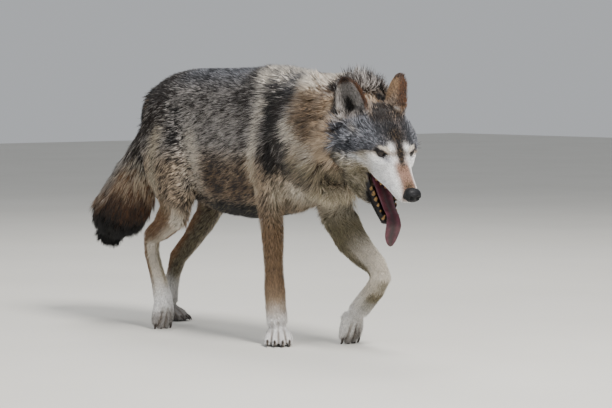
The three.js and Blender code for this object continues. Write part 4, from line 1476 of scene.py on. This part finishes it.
# %% [markdown]
# ## Tongue, teeth and nose
# A panting wolf's tongue lies in the trough of the jaw and hangs over the front teeth, broad
# and flat, with a groove down its middle. The nose is a block of leather with two nostrils
# that open forward and curl out to the sides.

# %% Tongue
TONGUE = [
    (-34, 0, -93, 20, 6, 6),
    (12, 0, -109, 20, 6, 6),
    (50, -1, -123, 17, 5, 6),
    (80, -3, -129, 17, 5, 5),
    (97, -4, -144, 20.5, 4.5, 5),
    (105, -5, -166, 19, 4, 4.5),
    (109, -3, -184, 13, 3.5, 3.5),
    (111, -1, -194, 6, 2.5, 2.5),
]
places, faces, along, angle = loft(TONGUE, around=32, steps=8, square=2.2, caps=6)
groove = np.exp(-((np.cos(angle) / 0.2) ** 2)) * np.sin(angle)
curl = np.abs(np.cos(angle)) ** 3 * ease(along, 0.1, 0.5)
places += np.outer(-2.2 * groove, [0.45, 0, 0.9]) + np.outer(1.5 * curl, [0.7, 0, 0.7])
places += np.outer(0.5 * noise(places, 9, 5), [0.5, 0.3, 0.8])
wet = Look(
    "tongue_flesh", Roughness=0.45, Subsurface_Weight=0.15, Subsurface_Scale=0.004, Coat_Weight=0.15
)
veins = wet.noise(90, 5)
grain = wet.noise(1400, 2)
rosy = wet.ramp(veins, [(0.3, tone("3a111b")), (0.7, tone("66293a"))])
# painted shade in the tongue's groove: its middle is darkened towards near-black red
wet.feed(Base_Color=wet.mix(wet.attribute("middle", "Fac"), rosy, tone("1f0a0e")))
wet.bump(grain, 0.35, 0.0006)
tongue = finished("tongue_piece", from_head(places), faces, wet, "tongue_flesh", "tongue")
# how much painted groove shade each vertex takes, most down the middle of the tongue
value_attribute(tongue, "middle", 0.85 * np.exp(-(((np.cos(angle) + 0.12) / 0.42) ** 2)))

# %% Teeth
enamel = Look("enamel", Roughness=0.3)
stain = enamel.noise(160, 4)
enamel.feed(Base_Color=enamel.ramp(stain, [(0.35, tone("5e3d1c")), (0.65, tone("96753f"))]))
enamel.bump(stain, 0.15, 0.0005)


def tooth(base, tip, radius, bend=0.0):
    """A tapered body from gum to tip, bent forward in the middle."""
    base, tip = np.asarray(base, float), np.asarray(tip, float)
    shares = np.array([0, 0.35, 0.7, 1.0])
    sizes = radius * np.array([1, 0.85, 0.5, 0.12])
    middle = base + shares[:, None] * (tip - base)
    middle[:, 0] += bend * np.sin(shares * math.pi)
    rows = np.hstack([middle, np.stack([sizes * 0.8, sizes, sizes], axis=1)])
    return loft(rows, around=10, steps=3, caps=2)[:2]


lower, upper = [], []
JAW_FROM, JAW_TO = np.array([3, 31.5, -102]), np.array([70, 19, -137])
CHEEK_TEETH = [(0, 3, 5.0), (0.18, 5, 6.0), (0.38, 4, 5.4), (0.58, 2, 4.4), (0.78, 0, 3.4)]
for side in (-1, 1):
    for share, tall, radius in CHEEK_TEETH:
        base = (JAW_FROM + share * (JAW_TO - JAW_FROM)) * [1, side, 1]
        lower.append(tooth(base - [0, 0, 5], base + [-2, 0, tall], radius))
    base = JAW_TO * [1, side, 1]
    lower.append(tooth(base - [0, 0, 8], base + [3, 0, 7], 4.0, 1.0))
    for step in range(3):
        spot = np.array([79, side * (3 + 4.6 * step), -142 + step])
        lower.append(tooth(spot - [0, 0, 3], spot + [2, 0, 4], 2.5))
        spot = np.array([100, side * (2.6 + 4.0 * step), -62])
        upper.append(tooth(spot + [0, 0, 3], spot - [0, 0, 4.5], 2.4))
    upper.append(tooth((90, side * 13, -62), (88, side * 13, -73), 4.0, 1.0))
    for share, tall in ((0, 0), (0.25, 1), (0.5, 0), (0.75, -1)):
        spot = np.array([6 + 70 * share, side * (29 - 13 * share), -80 + 8 * share])
        upper.append(tooth(spot + [0, 0, 4], spot - [0, 0, tall], 4.4))
for name, row in (("teeth_lower", lower), ("teeth_upper", upper)):
    places, faces = gather(row)
    finished(name, from_head(places), faces, enamel, "tooth")

# %% Nose
NOSE = [
    (104, 0, -38, 15.5, 10.5, 13),
    (112, 0, -37.5, 20, 15.5, 16),
    (119, 0, -38, 21, 16, 16.5),
    (125.5, 0, -39.5, 18.5, 13, 15),
]
places, faces, _, _ = loft(NOSE, around=64, steps=12, square=2.25, dome=0.5, caps=10)
folded = places * [1, 0, 1] + np.abs(places) * [0, 1, 0]
hole = bump_at(folded, (131, 8.6, -37.5), (7, 4.4, 4.6))
slit = bump_at(folded, (122, 16.5, -41), (9, 5, 2.2))
line = bump_at(folded, (133, 0, -45), (7, 1.0, 12))
places -= np.outer(7.5 * hole + 0.9 * line, [1, 0, 0.1])
places -= np.outer(3.2 * slit, [0.4, 0, 0.1])
places[:, 1] -= 3.0 * slit * np.sign(places[:, 1])
leather = Look(
    "nose_leather", Roughness=0.58, Specular_IOR_Level=0.25, Coat_Weight=0.06, Coat_Roughness=0.25
)
pebble = leather.node("ShaderNodeTexVoronoi", None, {"Vector": leather.place(), "Scale": 650.0})
black_grain = leather.ramp(leather.noise(120), [(0.3, tone("09090b")), (0.7, tone("151519"))])
leather.feed(Base_Color=black_grain)
leather.bump(pebble, 0.5, 0.0006)
finished("nose_pad", from_head(places), faces, leather, "nose_leather", "nose")

# %% [markdown]
# ## Eyes
# An eyeball is a sphere with a slightly bulging cornea. Rings of colour round the gaze give
# the pupil, the amber iris with its fine spokes, the dark limbus and the white.

# %% Eyeballs
IRIS = 7.4  # mm
PUPIL = 3.4
WIDEST = 12  # mm along the ball, the end of the colour ramp
CORNEA = 0.035  # how far it bulges, as a share of the radius


def eyeball(side):
    """A sphere by two angles round the gaze; the cornea adds a bell round the gaze."""
    polar = np.linspace(0, math.pi, 49)[1:-1][:, None, None]
    around = np.arange(64)[None, :, None] * 2 * math.pi / 64
    gaze, across, over = eye_axes(side)
    radius = EYE_RADIUS * (1 + CORNEA * np.exp(-((polar / 0.5) ** 2)))
    ring = np.cos(around) * across + np.sin(around) * over
    body = (radius * (np.cos(polar) * gaze + np.sin(polar) * ring)).reshape(-1, 3)
    places = np.vstack([EYE_RADIUS * (1 + CORNEA) * gaze, body, -EYE_RADIUS * gaze])
    faces = tube_faces(len(polar), 64)
    a, b, c = (places[faces[:, i]] for i in range(3))
    inward = (np.cross(b - a, c - a) * (a + b + c)).sum() < 0
    return places + EYES[side], faces[:, ::-1] if inward else faces


glass = Look(
    "eye_glass", Roughness=0.12, Specular_IOR_Level=0.3, Coat_Weight=0.3, Coat_Roughness=0.02
)
spokes = glass.noise(420, 4)
rings = glass.attribute("off_gaze", "Fac") + (spokes - 0.5) * 0.05
DEEP = (0.004, 0.003, 0.003)
ramp_stops = [
    (0.0, DEEP),
    (PUPIL / WIDEST - 0.01, DEEP),
    (PUPIL / WIDEST + 0.02, tone("33200c")),
    (0.44, tone("160d05")),
    (IRIS / WIDEST - 0.02, tone("120b06")),
    (IRIS / WIDEST + 0.04, tone("0e0a09")),
    (0.8, tone("2a211d")),
]
glass.feed(Base_Color=glass.ramp(rings, ramp_stops))
for side, node in ((-1, "eye_right"), (1, "eye_left")):
    places, faces = eyeball(side)
    made = finished(node + "_ball", places, faces, glass, "eye", node)
    cosine = np.clip(unit(places - EYES[side]) @ eye_axes(side)[0], -1, 1)
    value_attribute(made, "off_gaze", np.arccos(cosine) * EYE_RADIUS / MM / WIDEST)

# %% [markdown]
# ## Claws
# Four blunt, curved claws stand out of the toes of each paw.

# %% Claws
horn = Look("claw_horn", Roughness=0.45)
streaks = horn.ramp(horn.noise(220, 3), [(0.3, tone("1b1613")), (0.7, tone("463a30"))])
horn.feed(Base_Color=streaks)
horn.bump(horn.noise(500), 0.2, 0.0004)
CLAW = [(-6, 17, 3.2, 4), (3, 14.5, 2.8, 3.4), (9, 10, 2, 2.4), (12, 5.5, 0.7, 0.9)]  # mm
claws = []
for name in PAWS:
    length, half = PAW_LENGTH[name[:4]], PAW_HALF[name[:4]]
    for spread in (-0.72, -0.26, 0.26, 0.72):
        tip = length * (0.84 if abs(spread) > 0.5 else 1)
        y = spread * half * 1.14
        rows = [(tip + x, y, z, half_width, reach, reach) for x, z, half_width, reach in CLAW]
        places, faces, _, _ = loft(rows, around=10, steps=4, caps=2)
        claws.append((from_paw(places, name), faces))
places, faces = gather(claws)
places[:, 2] = np.maximum(places[:, 2], 0.3 * MM)
finished("claws", places, faces, horn, "claw_horn")
